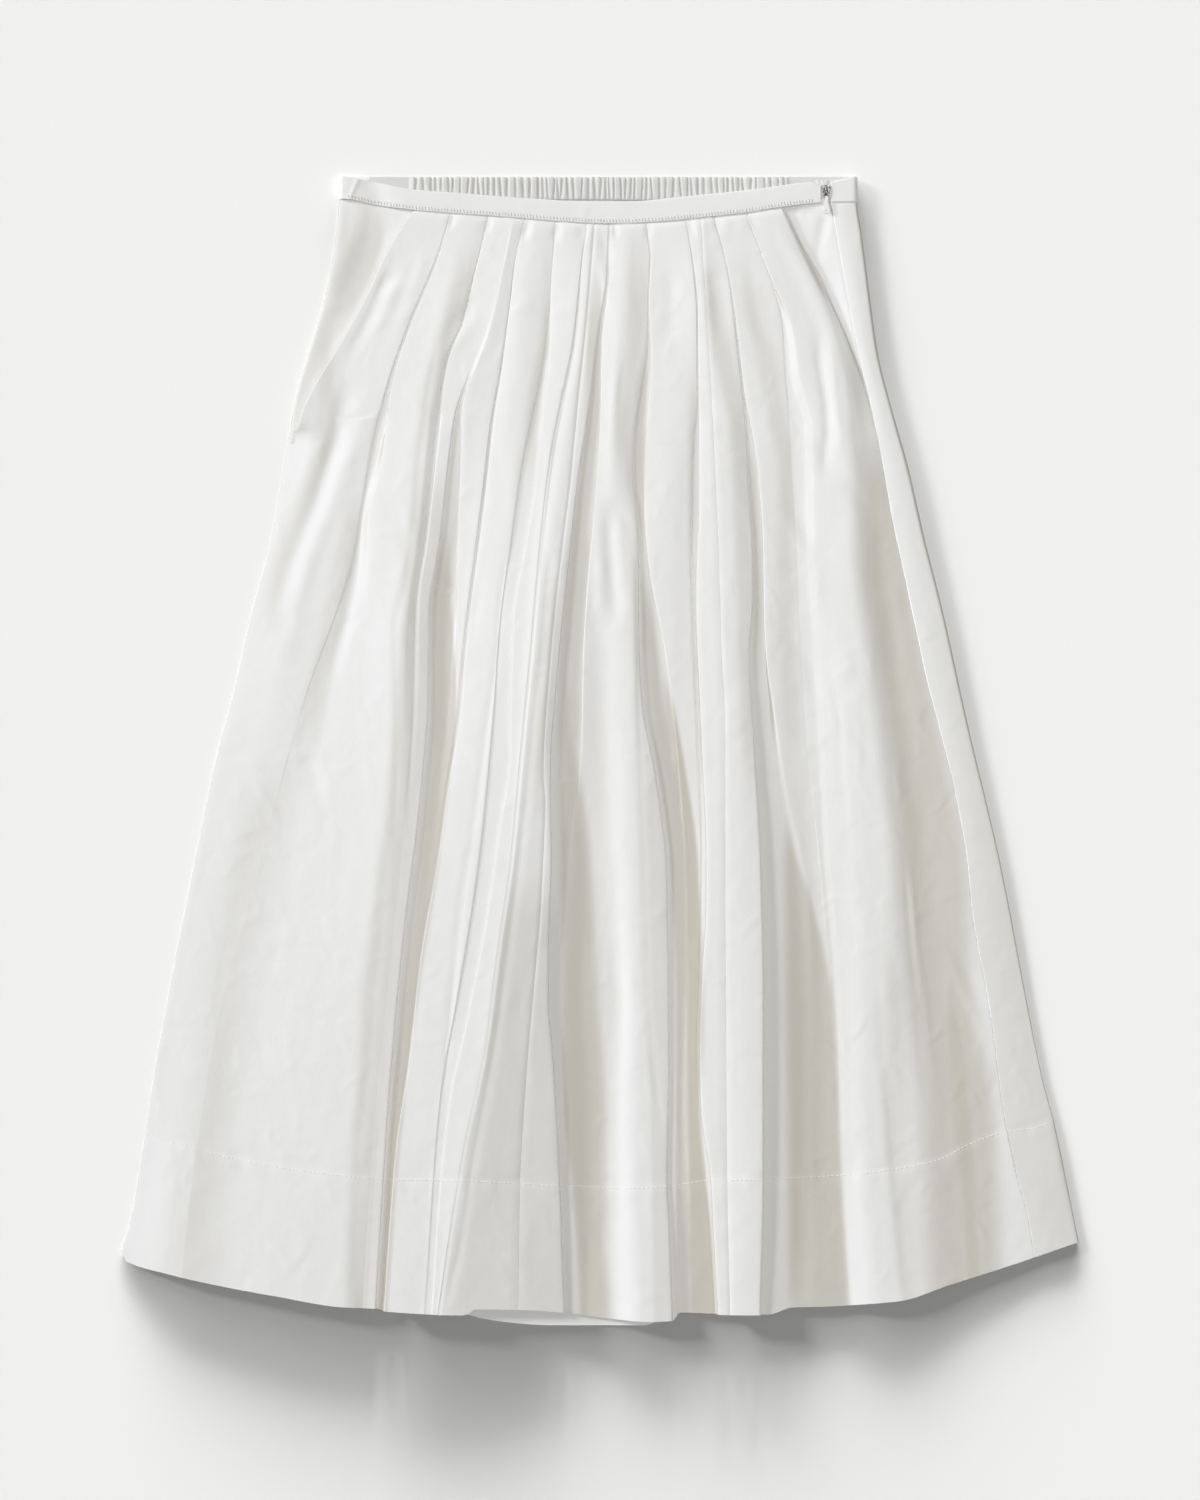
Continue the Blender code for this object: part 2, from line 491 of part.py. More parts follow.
def make_hips(material, collection):
    """The pieces that show inside the two pocket mouths. The left one goes round the edge to the seam beneath."""
    left_rows, right_rows = [], []
    for fraction in HIP_ROWS:
        outline = FRONT.column(LEFT_OUTLINE, fraction)
        mouth = FRONT.column(LEFT_POCKET, fraction)
        low = CLOTH / 2
        hidden_z = level(HIP_Z, 2 * fraction)
        turned_z = low + 2 * level(HIP_TURN, fraction)
        corners = [Corner(across(FRONT.column(LEFT_UNDER_SEAM, fraction)), low)]
        corners += turn(across(outline), low, level(HIP_TURN, fraction), -1)
        start = corners[-1].x
        end = across(mouth + HIDDEN_REACH_PX)
        corners += [Corner(start + (end - start) * share, turned_z + (hidden_z - turned_z) * share)
                    for share in (0.3, 0.65, 1)]
        left_rows.append([(x, up(FRONT.row(fraction, x / PX + MIDDLE_COLUMN)), z) for x, z, _ in corners])
        start = across(FRONT.column(RIGHT_POCKET, fraction) - HIDDEN_REACH_PX)
        end = across(FRONT.column(SIDE_SEAM, fraction)) - SEAM_GAP / 2
        corners = [(start + (end - start) * share, hidden_z + (side_height(fraction) - hidden_z) * share ** 2)
                   for share in (0, 0.35, 0.7, 1)]
        right_rows.append([(x, up(FRONT.row(fraction, x / PX + MIDDLE_COLUMN)), z) for x, z in corners])
    sewn_cloth("hip_left", left_rows, CLOTH, material, collection)
    sewn_cloth("hip_right", right_rows, CLOTH, material, collection)


BAND_LOW = BAND / 2  # middle of the waistband's wall where it lies on the surface
BAND_HIGH = 0.0054  # middle of its wall on the front
BAND_TURN = (BAND_HIGH - BAND_LOW) / 2
BAND_STEPS = 36


def band_rows(corners, top_row, low_row):
    """Two rows along a waistband, from functions that give its top and lower edges at each corner."""
    return [[(x, up(top_row(x, z)), z) for x, z, _ in corners], [(x, up(low_row(x, z)), z) for x, z, _ in corners]]


def make_bands(material, collection):
    gap_px = BAND_GAP / PX
    left = across(along(LEFT_OUTLINE, 187))
    right = across(along(RIGHT_OUTLINE, 190))
    under_seam = across(along(LEFT_UNDER_SEAM, 187))

    def column(x):
        return x / PX + MIDDLE_COLUMN

    start = left + 2 * BAND_TURN
    end = across(BAND_ENDS_PX[0])
    corners = [Corner(under_seam, BAND_LOW)] + turn(left, BAND_LOW, BAND_TURN, -1)
    dent_px = 374
    for i in range(1, BAND_STEPS + 1):
        x = start + (end - start) * i / BAND_STEPS
        dent = 0.0011 * math.exp(-((column(x) - dent_px) / 14) ** 2)
        corners.append(Corner(x, BAND_HIGH - dent))

    def on_top(z):
        return z > BAND_LOW + BAND_TURN

    def front_top(x, z):
        return along(FRONT_BAND_TOP, column(x)) if on_top(z) else TOP_ROW

    def front_low(x, z):
        return along(FRONT_WAIST if on_top(z) else BACK_WAIST, column(x)) - gap_px

    sewn_cloth("waistband_front", band_rows(corners, front_top, front_low), BAND, material, collection)

    ruched_from, ruched_to = (across(c) for c in RUCHED_PX)
    corners = [Corner(under_seam + SEAM_GAP, BAND_LOW), Corner((under_seam + ruched_from) / 2, BAND_LOW)]
    for i in range(2 * RUCHES + 1):
        raised = 0.1 * MM + RUCHE_HEIGHT * (i % 2) * (0.75 + 0.25 * math.cos(2.4 * i))
        wander = 0.18 * math.sin(1.7 * i)
        corners.append(Corner(ruched_from + (ruched_to - ruched_from) * (i + wander) / (2 * RUCHES + 0.4),
                              BAND_LOW + raised))
    corners += [Corner((ruched_to + right) / 2, BAND_LOW)] + turn(right, BAND_LOW, BAND_TURN, 1)
    corners.append(Corner((right - BAND_TURN + across(BAND_ENDS_PX[1])) / 2, BAND_HIGH))
    corners.append(Corner(across(BAND_ENDS_PX[1]), BAND_HIGH))

    def back_top(x, z):
        return along(BACK_BAND_TURNED_TOP, column(x)) if on_top(z) else TOP_ROW

    def back_low(x, z):
        return along(BACK_WAIST, column(x)) - gap_px

    sewn_cloth("waistband_back", band_rows(corners, back_top, back_low), BAND, material, collection)


def rounded_outline(points):
    """A closed flat spline through the points, in metres."""
    curve = bpy.data.curves.new("outline", "CURVE")
    curve.dimensions = "2D"
    curve.fill_mode = "BOTH"
    for ring in points:
        spline = curve.splines.new("POLY")
        spline.points.add(len(ring) - 1)
        for place, (x, y) in zip(spline.points, ring):
            place.co = (x, y, 0, 1)
        spline.use_cyclic_u = True
    return curve


def oval(centre_y, half_width, half_length, sides):
    return [(half_width * math.cos(2 * math.pi * i / sides), centre_y + half_length * math.sin(2 * math.pi * i / sides))
            for i in range(sides)]


def make_zip(tape_cloth, metal, enamel, collection):
    """The zip's tape end, its slider with a bridge, and the pull tab that hangs from the bridge."""
    middle_x = across((BAND_ENDS_PX[0] + BAND_ENDS_PX[1]) / 2)
    slider_y = up(SLIDER_ROW)
    tape_z = BAND_HIGH - BAND / 2 - SEAM_GAP - TAPE_SIZE[2] / 2
    tape = bmesh.new()
    bmesh.ops.create_cube(tape, size=1)
    bmesh.ops.scale(tape, vec=TAPE_SIZE, verts=tape.verts)
    mesh = bpy.data.meshes.new("zip_tape")
    tape.to_mesh(mesh)
    tape.free()
    new_object("zip_tape", mesh, tape_cloth, collection).location = (middle_x, up(TAPE_ROW), tape_z)

    width, length, plate = SLIDER_SIZE
    plate_z = tape_z + TAPE_SIZE[2] / 2 + SEAM_GAP
    top_z = plate_z + plate
    bar_z = top_z + 0.0008
    pivot_y = slider_y - 0.0026

    outline = rounded_outline([[(-width / 2, length / 2), (-width / 2, 0.1 * length), (-width / 4, -length / 2),
                                (width / 4, -length / 2), (width / 2, 0.1 * length), (width / 2, length / 2),
                                (width / 5, length / 2), (0, length / 3), (-width / 5, length / 2)]])
    outline.extrude = plate / 2
    body = bpy.data.objects.new("slider_body", outline)
    body.location = (middle_x, slider_y, plate_z + plate / 2)
    collection.objects.link(body)
    bridge = bpy.data.curves.new("bridge", "CURVE")
    bridge.dimensions = "3D"
    bridge.bevel_depth = BRIDGE_BAR / 2
    bridge.bevel_resolution = 1
    bridge.use_fill_caps = True
    spline = bridge.splines.new("POLY")
    sunk = 0.0004
    foot = 0.0015
    crown = 0.0012
    places = [(-foot, -0.0008 - sunk), (-foot, 0.0005), (-foot + 0.0005, crown), (foot - 0.0005, crown),
              (foot, 0.0005), (foot, -0.0008 - sunk)]
    spline.points.add(len(places) - 1)
    for place, (y, z) in zip(spline.points, places):
        place.co = (0, y, z, 1)
    arch = bpy.data.objects.new("slider_bridge", bridge)
    arch.location = (middle_x, pivot_y, bar_z)
    collection.objects.link(arch)

    slider = as_mesh(body, "zip_slider", metal, collection)
    cutter = as_mesh(arch, "zip_bridge", metal, collection)
    union = slider.modifiers.new("Bridge", "BOOLEAN")
    union.operation = "UNION"
    union.object = cutter
    for_cutting = bpy.data.collections.new("Cutters")
    bpy.context.scene.collection.children.link(for_cutting)
    collection.objects.unlink(cutter)
    for_cutting.objects.link(cutter)
    cutter.hide_render = True
    cutter.display_type = "WIRE"

    bar = TAB_THICKNESS
    neck = TAB_WIDTH * 0.36
    tip = bar / 2 - TAB_LENGTH
    edge = [(-neck, bar / 2), (-neck - 0.0004, -0.0012), (-0.42 * TAB_WIDTH, 0.42 * tip), (-TAB_WIDTH / 2, 0.68 * tip),
            (-0.42 * TAB_WIDTH, 0.88 * tip), (-0.2 * TAB_WIDTH, tip)]
    ring = edge + [(-x, y) for x, y in reversed(edge)]
    hole_low, hole_high = -0.0034, -bar / 2
    hole = oval((hole_low + hole_high) / 2, neck - 0.0008, (hole_high - hole_low) / 2, 10)
    teardrop = rounded_outline([ring, hole])
    teardrop.extrude = TAB_THICKNESS / 2
    tab = bpy.data.objects.new("tab_outline", teardrop)
    tab.location = (middle_x, pivot_y, bar_z)
    collection.objects.link(tab)
    as_mesh(tab, "zip_pull_tab", enamel, collection)


def as_mesh(curve_object, name, material, collection):
    """Turns a curve into a closed mesh object of this name, at the same place."""
    bpy.context.view_layer.update()
    evaluated = curve_object.evaluated_get(bpy.context.evaluated_depsgraph_get())
    mesh = bpy.data.meshes.new_from_object(evaluated)
    welded = bmesh.new()
    welded.from_mesh(mesh)
    bmesh.ops.remove_doubles(welded, verts=welded.verts, dist=1e-6)
    bmesh.ops.recalc_face_normals(welded, faces=welded.faces)
    welded.to_mesh(mesh)
    welded.free()
    piece = new_object(name, mesh, material, collection)
    piece.matrix_world = curve_object.matrix_world
    bpy.data.objects.remove(curve_object)
    return piece


def main():
    for leftover in list(bpy.data.objects):
        bpy.data.objects.remove(leftover)
    skirt = bpy.data.collections.new("Pleated skirt")
    bpy.context.scene.collection.children.link(skirt)
    poplin = new_material("white poplin", (0.86, 0.86, 0.85), 0.85)
    band_cloth = new_material("white poplin band", (0.84, 0.84, 0.83), 0.85)
    tape_cloth = new_material("white zip tape", (0.80, 0.80, 0.79), 0.9)
    metal = new_material("bright zip metal", (0.72, 0.72, 0.73), 0.3, 1.0)
    enamel = new_material("white enamel", (0.88, 0.88, 0.87), 0.35)
    make_front(poplin, skirt)
    make_back(poplin, skirt)
    make_hips(poplin, skirt)
    make_bands(band_cloth, skirt)
    make_zip(tape_cloth, metal, enamel, skirt)


main()
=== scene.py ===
"""Looks of the pleated white poplin skirt, laid flat on its back and seen from straight above.

X runs to the right across the skirt, Y from the hem to the waist and Z up from the floor. Lengths are metres
unless a name ends in _MM or _PX or a comment says otherwise. Rows and columns are steps of PX down and across
the laid skirt. Courses of folds, seams and creases are (row, column) places, and edges that run across the
skirt are (column, row) places.
"""

import math
from typing import NamedTuple

import bmesh
import bpy
import numpy as np
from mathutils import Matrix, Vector
from mathutils.bvhtree import BVHTree


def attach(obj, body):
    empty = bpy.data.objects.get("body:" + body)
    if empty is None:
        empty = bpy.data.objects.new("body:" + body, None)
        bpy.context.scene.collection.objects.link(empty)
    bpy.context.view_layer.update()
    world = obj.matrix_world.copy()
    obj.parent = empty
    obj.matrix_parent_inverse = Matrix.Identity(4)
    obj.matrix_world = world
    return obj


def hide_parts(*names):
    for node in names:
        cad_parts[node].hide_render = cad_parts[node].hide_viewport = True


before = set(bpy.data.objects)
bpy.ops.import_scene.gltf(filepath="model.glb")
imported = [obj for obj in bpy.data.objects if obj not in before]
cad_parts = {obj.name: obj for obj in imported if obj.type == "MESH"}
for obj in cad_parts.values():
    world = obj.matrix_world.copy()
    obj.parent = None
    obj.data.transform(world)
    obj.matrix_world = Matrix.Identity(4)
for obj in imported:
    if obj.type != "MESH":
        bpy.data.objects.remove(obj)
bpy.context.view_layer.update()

MM = 0.001
LENGTH = 0.820
TOP_ROW, LOW_ROW = 176, 1326
MIDDLE_COLUMN, MIDDLE_ROW = 600, 751
PX = LENGTH / (LOW_ROW - TOP_ROW)
FIRST_ROW, FRONT_ROWS = 223, 1100  # where the front starts about, and how far it reaches down
COLUMN_STEPS = 8

CLOTH = 0.0011  # wall of the solids that the cloth lies on
SHELL = 0.00045  # wall of the cloth itself
HEM_SHELL = 0.0009  # wall of the cloth at the hem, where it is turned up
BAND = 0.0022  # wall of a waistband with its layers
TURN = 0.0018  # height of an edge that is folded over
SEAM_GAP = 0.06 * MM
UNDER_GAP = 0.3 * MM  # gap between front and back in the seam under the left edge
HIDDEN_REACH_PX = 13
BAND_ENDS_PX = (820.5, 832.5)
RUCHED_PX = (411, 787)

LEVELS = (0.0, 0.09, 0.22, 0.40, 0.60, 0.80, 1.0)
POCKET_END, WRAP_START = 0.2085, 0.2125

FRONT_WAIST = ((330, 199), (346, 199), (372, 204), (414, 210), (451, 213), (508, 217), (557, 221),
               (610, 223.5), (653, 222), (691, 218.5), (744, 213), (782, 207), (833, 202), (870, 201.5))
FRONT_HEM = ((110, 1250), (121, 1253), (126, 1262), (166, 1274), (219, 1286), (279, 1297), (339, 1307),
             (375, 1309), (384, 1311), (465, 1315), (475, 1309), (531, 1310), (620, 1320), (650, 1322),
             (673, 1321), (680, 1313), (739, 1315), (769, 1315), (792, 1308), (829, 1307), (872, 1304),
             (902, 1301), (948, 1286), (1011, 1266), (1079, 1243), (1090, 1240))
BACK_WAIST = ((330, 199), (600, 199.5), (833, 202), (870, 201.5))
BACK_HEM = ((110, 1250), (121, 1253), (126, 1262), (166, 1273), (279, 1293), (375, 1301), (450, 1311),
            (491, 1321), (550, 1326), (650, 1326), (680, 1312), (760, 1305), (900, 1292), (948, 1284),
            (1011, 1266), (1079, 1243), (1090, 1240))
FRONT_BAND_TOP = ((330, 176), (345, 176), (359, 178.5), (387, 184), (413, 189), (451, 192), (489, 195),
                  (530, 198), (576, 200.5), (628, 201), (685, 196), (757, 188.6), (808, 182),
                  (820.5, 181.5))
BACK_BAND_TURNED_TOP = ((832.5, 181.5), (846, 178), (855, 176), (870, 176))

LEFT_OUTLINE = ((176, 341), (198, 339), (226, 337), (288, 327), (402, 295), (544, 270), (611, 252),
                (686, 235), (754, 217), (839, 199), (1080, 153), (1133, 145), (1223, 130), (1253, 121))
RIGHT_OUTLINE = ((176, 855.5), (206, 857.5), (236, 862), (299, 870), (354, 878), (402, 890), (470, 909),
                 (540, 925), (603, 941), (729, 969), (856, 999), (1080, 1043), (1121, 1054), (1193, 1069),
                 (1243, 1079))
LEFT_POCKET = ((209, 415), (220, 406), (254, 385), (295, 366), (348, 337), (389, 312), (415, 300),
               (440, 295))
RIGHT_POCKET = ((206, 781), (219, 787), (243, 799), (275, 818), (309, 833), (340, 847), (373, 859),
                (400, 868), (420, 873), (450, 879))
LEFT_UNDER_SEAM = ((170, 373), (199, 366), (402, 324), (544, 291), (686, 259), (839, 226), (1080, 180),
                   (1253, 148))
SIDE_SEAM = ((202, 831), (241, 838), (305, 849), (350, 858), (405, 871), (454, 881), (521, 893),
             (572, 904), (628, 916), (679, 927), (729, 940), (786, 954), (856, 967), (915, 973),
             (1015, 991), (1107, 1003), (1168, 1015), (1221, 1029), (1262, 1035))
HEM_SEAM = ((100, 1120), (145, 1133), (196, 1149), (243, 1160), (299, 1170), (362, 1177), (395, 1179),
            (465, 1180), (520, 1183), (580, 1186), (620, 1188), (666, 1186), (713, 1180), (779, 1178),
            (845, 1175), (880, 1171), (935, 1161), (968, 1145), (985, 1138), (1005, 1132), (1035, 1128),
            (1053, 1121), (1075, 1112))


class Pleat(NamedTuple):
    """A knife pleat whose fold faces left: tracks of (row, column), lap and z in mm at each of LEVELS."""

    name: str
    shoulder: tuple
    edge: tuple
    lap: tuple
    shoulder_z: tuple
    floor_z: tuple
    edge_z: tuple
    opens: float = -1.0


class Crease(NamedTuple):
    """A soft ridge, valley or seam along the skirt, with its height in mm at each of LEVELS."""

    name: str
    track: tuple
    z: tuple


def beside(track, shift):
    """The same track, shift columns further right."""
    return tuple((row, column + shift) for row, column in track)


PLEAT_2_EDGE = ((220, 488), (273, 475), (323, 463), (358, 449), (386, 444), (436, 439), (480, 434),
                (540, 428), (600, 420), (703, 418), (860, 406), (1000, 391), (1150, 377), (1310, 367))
PLEAT_3_EDGE = ((222, 525), (257, 516), (305, 510), (367, 502), (421, 493), (485, 486), (541, 479),
                (601, 471), (652, 465), (718, 459), (789, 448), (860, 438), (950, 422), (1068, 408),
                (1150, 396), (1310, 384))
PLEAT_5_EDGE = ((225, 587), (264, 582), (345, 574), (389, 566), (462, 553), (550, 543), (662, 533),
                (764, 523), (860, 514), (950, 501), (1050, 488), (1150, 467), (1310, 442))

# What the front holds from its left edge to its right, in order.
FRONT_FOLDS = (
    Crease("left_flank",
           ((210, 428), (300, 380), (424, 320), (600, 292), (860, 236), (1150, 172), (1300, 150)),
           (6.2, 6.2, 4.8, 4.2, 3.2, 3.1, 4.3)),
    Pleat("pleat_1",
          shoulder=((214, 446), (300, 412), (421, 376), (500, 362), (560, 352), (600, 340), (700, 304),
                    (800, 276), (900, 250), (1000, 222), (1150, 196), (1310, 178)),
          edge=((214, 451), (263, 436), (322, 412), (384, 392), (474, 380), (530, 368), (600, 370),
                (680, 366), (770, 358), (880, 344), (950, 328), (1050, 304), (1150, 288), (1310, 272)),
          lap=(11, 10, -2, -24, -48, -50, -48), shoulder_z=(5.6, 7.0, 6.0, 4.8, 3.9, 4.0, 6.4),
          floor_z=(5.1, 6.0, 4.8, 4.4, 3.9, 4.0, 6.4), edge_z=(6.2, 7.8, 6.8, 6.4, 6.4, 6.4, 8.0)),
    Crease("panel_1",
           ((225, 470), (339, 440), (392, 427), (452, 420), (513, 415), (591, 404), (654, 397), (785, 394),
            (860, 386), (950, 378), (1050, 369), (1150, 358), (1310, 350)),
           (6.3, 9.2, 8.6, 9.0, 8.4, 7.7, 8.2)),
    Pleat("pleat_2", shoulder=beside(PLEAT_2_EDGE, -5), edge=PLEAT_2_EDGE, lap=(11, 7, 0, -2, -2, -2, -2),
          shoulder_z=(5.6, 7.8, 6.8, 7.4, 7.6, 7.2, 6.8), floor_z=(5.1, 6.8, 5.8, 7.2, 7.6, 7.2, 6.8),
          edge_z=(6.2, 7.8, 6.8, 7.4, 7.6, 7.2, 6.8)),
    Pleat("pleat_2_split",
          shoulder=((222, 507), (330, 482), (418, 453), (470, 447), (528, 441), (556, 437), (609, 429),
                    (703, 428), (744, 425), (826, 417), (915, 406), (1000, 397), (1068, 391), (1150, 385),
                    (1310, 375)),
          edge=((222, 513), (330, 490), (418, 461), (470, 460), (528, 458), (609, 457), (660, 454),
                (718, 451), (789, 441), (860, 432), (950, 417), (1068, 403), (1150, 392), (1310, 380.5)),
          lap=(-2, 0, 2, -2, -4, -3, -2), shoulder_z=(6.4, 8.8, 6.4, 6.8, 7.6, 7.4, 7.4),
          floor_z=(5.3, 7.8, 3.0, 3.0, 3.0, 3.0, 2.8), edge_z=(6.4, 9.8, 6.4, 3.6, 3.2, 3.1, 2.9),
          opens=0.165),
    Pleat("pleat_3", shoulder=beside(PLEAT_3_EDGE, -3), edge=PLEAT_3_EDGE, lap=(11, 10, 9, 9, 10, 9, 8),
          shoulder_z=(5.6, 8.8, 7.0, 3.8, 3.2, 3.1, 2.9), floor_z=(5.1, 7.8, 4.4, 2.9, 3.0, 3.0, 2.8),
          edge_z=(6.2, 8.8, 9.4, 11.2, 12.6, 12.4, 11.9)),
    Crease("crest_3",
           ((222, 535), (431, 503), (544, 492), (662, 477), (764, 462), (860, 451), (950, 437),
            (1050, 425), (1150, 415), (1310, 402)), (6.4, 9.7, 10.4, 12.0, 13.2, 12.7, 12.4)),
    Crease("panel_3",
           ((222, 545), (431, 519), (544, 508), (662, 493), (764, 480), (860, 468), (950, 457),
            (1050, 445), (1150, 432), (1310, 420)), (6.2, 9.4, 10.9, 12.8, 13.8, 13.0, 12.0)),
    Pleat("pleat_4",
          shoulder=((225, 551), (267, 549), (305, 546), (333, 541), (381, 535), (425, 528), (469, 521),
                    (535, 512), (622, 500), (707, 494), (826, 483), (903, 473), (1000, 457), (1100, 440),
                    (1310, 425)),
          edge=((225, 556), (286, 551), (349, 549), (403, 544), (447, 539), (491, 535), (544, 526),
                (622, 513), (707, 510.5), (754, 510), (826, 500), (910, 488), (970, 477), (1030, 465),
                (1100, 450), (1180, 441), (1310, 432)), lap=(11, 7, 4, 4, 4, 3, 1),
          shoulder_z=(5.6, 8.2, 10.3, 13.2, 14.2, 13.2, 12.2),
          floor_z=(5.1, 7.2, 9.4, 12.6, 13.4, 12.7, 11.9),
          edge_z=(6.2, 9.0, 11.2, 14.3, 14.9, 13.8, 12.6)),
    Crease("crest_4",
           ((225, 567), (431, 547), (544, 533), (662, 522), (764, 516), (860, 507), (950, 494),
            (1050, 476), (1150, 454), (1310, 437)), (6.4, 9.8, 11.4, 14.6, 15.2, 14.2, 12.6)),
    Pleat("pleat_5", shoulder=beside(PLEAT_5_EDGE, -4), edge=PLEAT_5_EDGE, lap=(5, 4, -1, -1, -1, -1, -1),
          shoulder_z=(5.6, 10.4, 11.8, 15.4, 15.4, 14.6, 12.9),
          floor_z=(5.1, 9.4, 11.4, 15.2, 15.3, 14.5, 12.6),
          edge_z=(6.2, 9.6, 11.2, 15.6, 15.5, 14.5, 12.7)),
    Crease("crest_5",
           ((225, 591), (345, 580), (431, 567), (544, 551), (662, 541), (764, 530), (860, 521), (950, 508),
            (1050, 494), (1150, 476), (1310, 450)), (6.3, 10.2, 12.2, 15.6, 15.0, 13.8, 12.2)),
    Crease("left_gore_seam",
           ((225, 594.5), (318, 587), (412, 577), (484, 570), (556, 561), (662, 550), (775, 543),
            (800, 545), (860, 543), (915, 540), (975, 535), (1030, 530), (1125, 523), (1180, 520),
            (1310, 518)), (6.0, 10.0, 11.5, 15.0, 13.2, 11.6, 10.6)),
    Pleat("pleat_6",
          shoulder=((225, 598), (286, 596), (318, 592), (344, 589), (412, 585), (484, 577), (556, 569),
                    (662, 558), (775, 550), (860, 551), (950, 548), (1000, 548), (1050, 552), (1150, 558),
                    (1310, 564)),
          edge=((225, 611), (280, 609), (344, 602), (418, 600), (506, 594), (601, 586), (652, 583),
                (744, 581), (860, 573), (950, 570), (1000, 568), (1050, 568), (1150, 572), (1310, 580)),
          lap=(10, 9, 7, 4, -4, -6, -4), shoulder_z=(5.4, 9.6, 10.8, 13.8, 12.4, 10.2, 8.6),
          floor_z=(4.9, 8.6, 7.2, 8.2, 4.0, 3.0, 3.4), edge_z=(6.2, 9.0, 10.6, 11.2, 4.8, 3.1, 3.4)),
    Crease("slope_6",
           ((225, 619), (431, 606), (550, 599), (703, 602), (860, 608), (950, 615), (1000, 619),
            (1050, 616), (1150, 614), (1310, 616)), (6.4, 9.9, 11.0, 9.6, 5.4, 3.2, 3.8)),
    Crease("crest_6",
           ((225, 630), (344, 620), (431, 613), (544, 614), (609, 620), (703, 622), (860, 627),
            (1000, 631), (1200, 632), (1310, 636)), (6.4, 10.5, 11.8, 10.9, 8.4, 6.4, 7.8)),
    Crease("panel_6",
           ((225, 637), (339, 633), (389, 621), (433, 621), (484, 626), (548, 630), (683, 634), (744, 638),
            (860, 645), (1000, 650), (1150, 655), (1310, 657)), (6.2, 9.4, 10.6, 10.9, 8.2, 6.2, 7.6)),
    Pleat("pleat_7",
          shoulder=((225, 643), (299, 644), (344, 642), (389, 636), (440, 632), (484, 632), (506, 636),
                    (548, 638), (640, 638.5), (703, 642), (769, 654), (815, 661), (858, 666), (950, 668),
                    (1068, 669), (1180, 667), (1221, 669), (1310, 672)),
          edge=((225, 647), (260, 651), (299, 649), (356, 651), (433, 646), (499, 644), (528, 645),
                (575, 650), (642, 663), (713, 673), (785, 680), (860, 686), (1000, 689), (1100, 686),
                (1200, 692), (1310, 698)), lap=(11, 9, 6, 3, -2, -3, -3),
          shoulder_z=(5.6, 8.4, 9.2, 10.2, 7.4, 6.0, 7.6), floor_z=(5.1, 7.4, 6.8, 5.0, 3.0, 2.9, 3.4),
          edge_z=(6.2, 9.2, 10.4, 7.4, 3.6, 3.2, 3.4)),
    Crease("panel_7",
           ((225, 664), (431, 672), (544, 672), (662, 681), (764, 690), (860, 695), (1000, 694),
            (1100, 692), (1200, 700), (1310, 706)), (6.4, 8.8, 10.8, 6.8, 3.5, 3.2, 3.6)),
    Pleat("pleat_8",
          shoulder=((224, 683), (318, 694), (397, 696), (442, 692), (560, 690), (640, 692), (750, 697),
                    (860, 701), (960, 699), (1060, 696), (1140, 702), (1240, 710), (1310, 714)),
          edge=((224, 687), (267, 694), (318, 698), (505, 699), (553, 697), (600, 696), (683, 699),
                (750, 702), (860, 706.5), (915, 706), (960, 703), (1060, 700), (1107, 701), (1180, 711),
                (1240, 714), (1310, 718)), lap=(9, 8, 8, 8, 8, 7, 6),
          shoulder_z=(5.6, 9.9, 9.6, 5.8, 3.3, 3.1, 3.6), floor_z=(5.1, 8.9, 8.0, 4.0, 3.0, 3.0, 3.4),
          edge_z=(6.2, 9.6, 11.6, 12.8, 13.4, 12.4, 10.6)),
    Crease("right_gore_seam",
           ((224, 701), (431, 713), (603, 720), (645, 721), (729, 725), (845, 725), (1180, 727),
            (1310, 730)), (6.4, 10.2, 12.4, 13.2, 13.7, 12.7, 10.9)),
    Crease("panel_8",
           ((225, 706), (344, 722), (431, 730), (550, 736), (650, 737), (750, 740), (860, 744),
            (1000, 747), (1310, 746)), (6.2, 8.7, 12.2, 12.8, 13.6, 13.4, 11.3)),
    Pleat("pleat_9",
          shoulder=((221, 711), (286, 726), (344, 734), (386, 740), (426, 744), (489, 748), (560, 752),
                    (603, 752), (650, 749), (750, 754), (856, 760), (992, 763), (1175, 763), (1310, 760)),
          edge=((221, 715), (248, 723), (286, 731), (344, 739), (394, 744.5), (432, 752), (473, 758),
                (545, 763), (614, 764), (656, 766), (704, 773), (750, 780), (793, 787), (851, 800),
                (900, 808), (1000, 812), (1310, 812)), lap=(11, 8, 4, 0, -12, -14, -14),
          shoulder_z=(5.6, 8.6, 10.2, 11.6, 12.6, 12.9, 11.0), floor_z=(5.1, 7.6, 7.8, 6.6, 4.0, 3.2, 3.6),
          edge_z=(6.2, 9.0, 10.6, 9.6, 5.2, 3.4, 3.8)),
    Crease("panel_9",
           ((225, 733), (344, 757), (431, 769), (550, 779), (650, 786), (750, 796), (860, 812),
            (1000, 822), (1310, 824)), (6.2, 8.2, 10.0, 8.2, 4.4, 2.9, 3.5)),
    Pleat("pleat_10",
          shoulder=((219, 744), (284, 766), (338, 772), (406, 784), (453, 790), (550, 796), (650, 801),
                    (750, 808), (860, 819), (1000, 830), (1310, 839)),
          edge=((219, 748), (247, 759), (284, 774), (322, 791), (344, 796), (378, 801), (402, 808),
                (426, 814), (553, 816), (650, 822), (750, 826), (860, 831), (950, 839), (1050, 845),
                (1150, 847), (1250, 853), (1310, 857)), lap=(11, -8, -8, -7, -5, -5, -5),
          shoulder_z=(5.6, 7.6, 8.4, 7.2, 4.4, 2.9, 3.3), floor_z=(5.1, 7.2, 8.2, 7.2, 4.5, 2.9, 3.3),
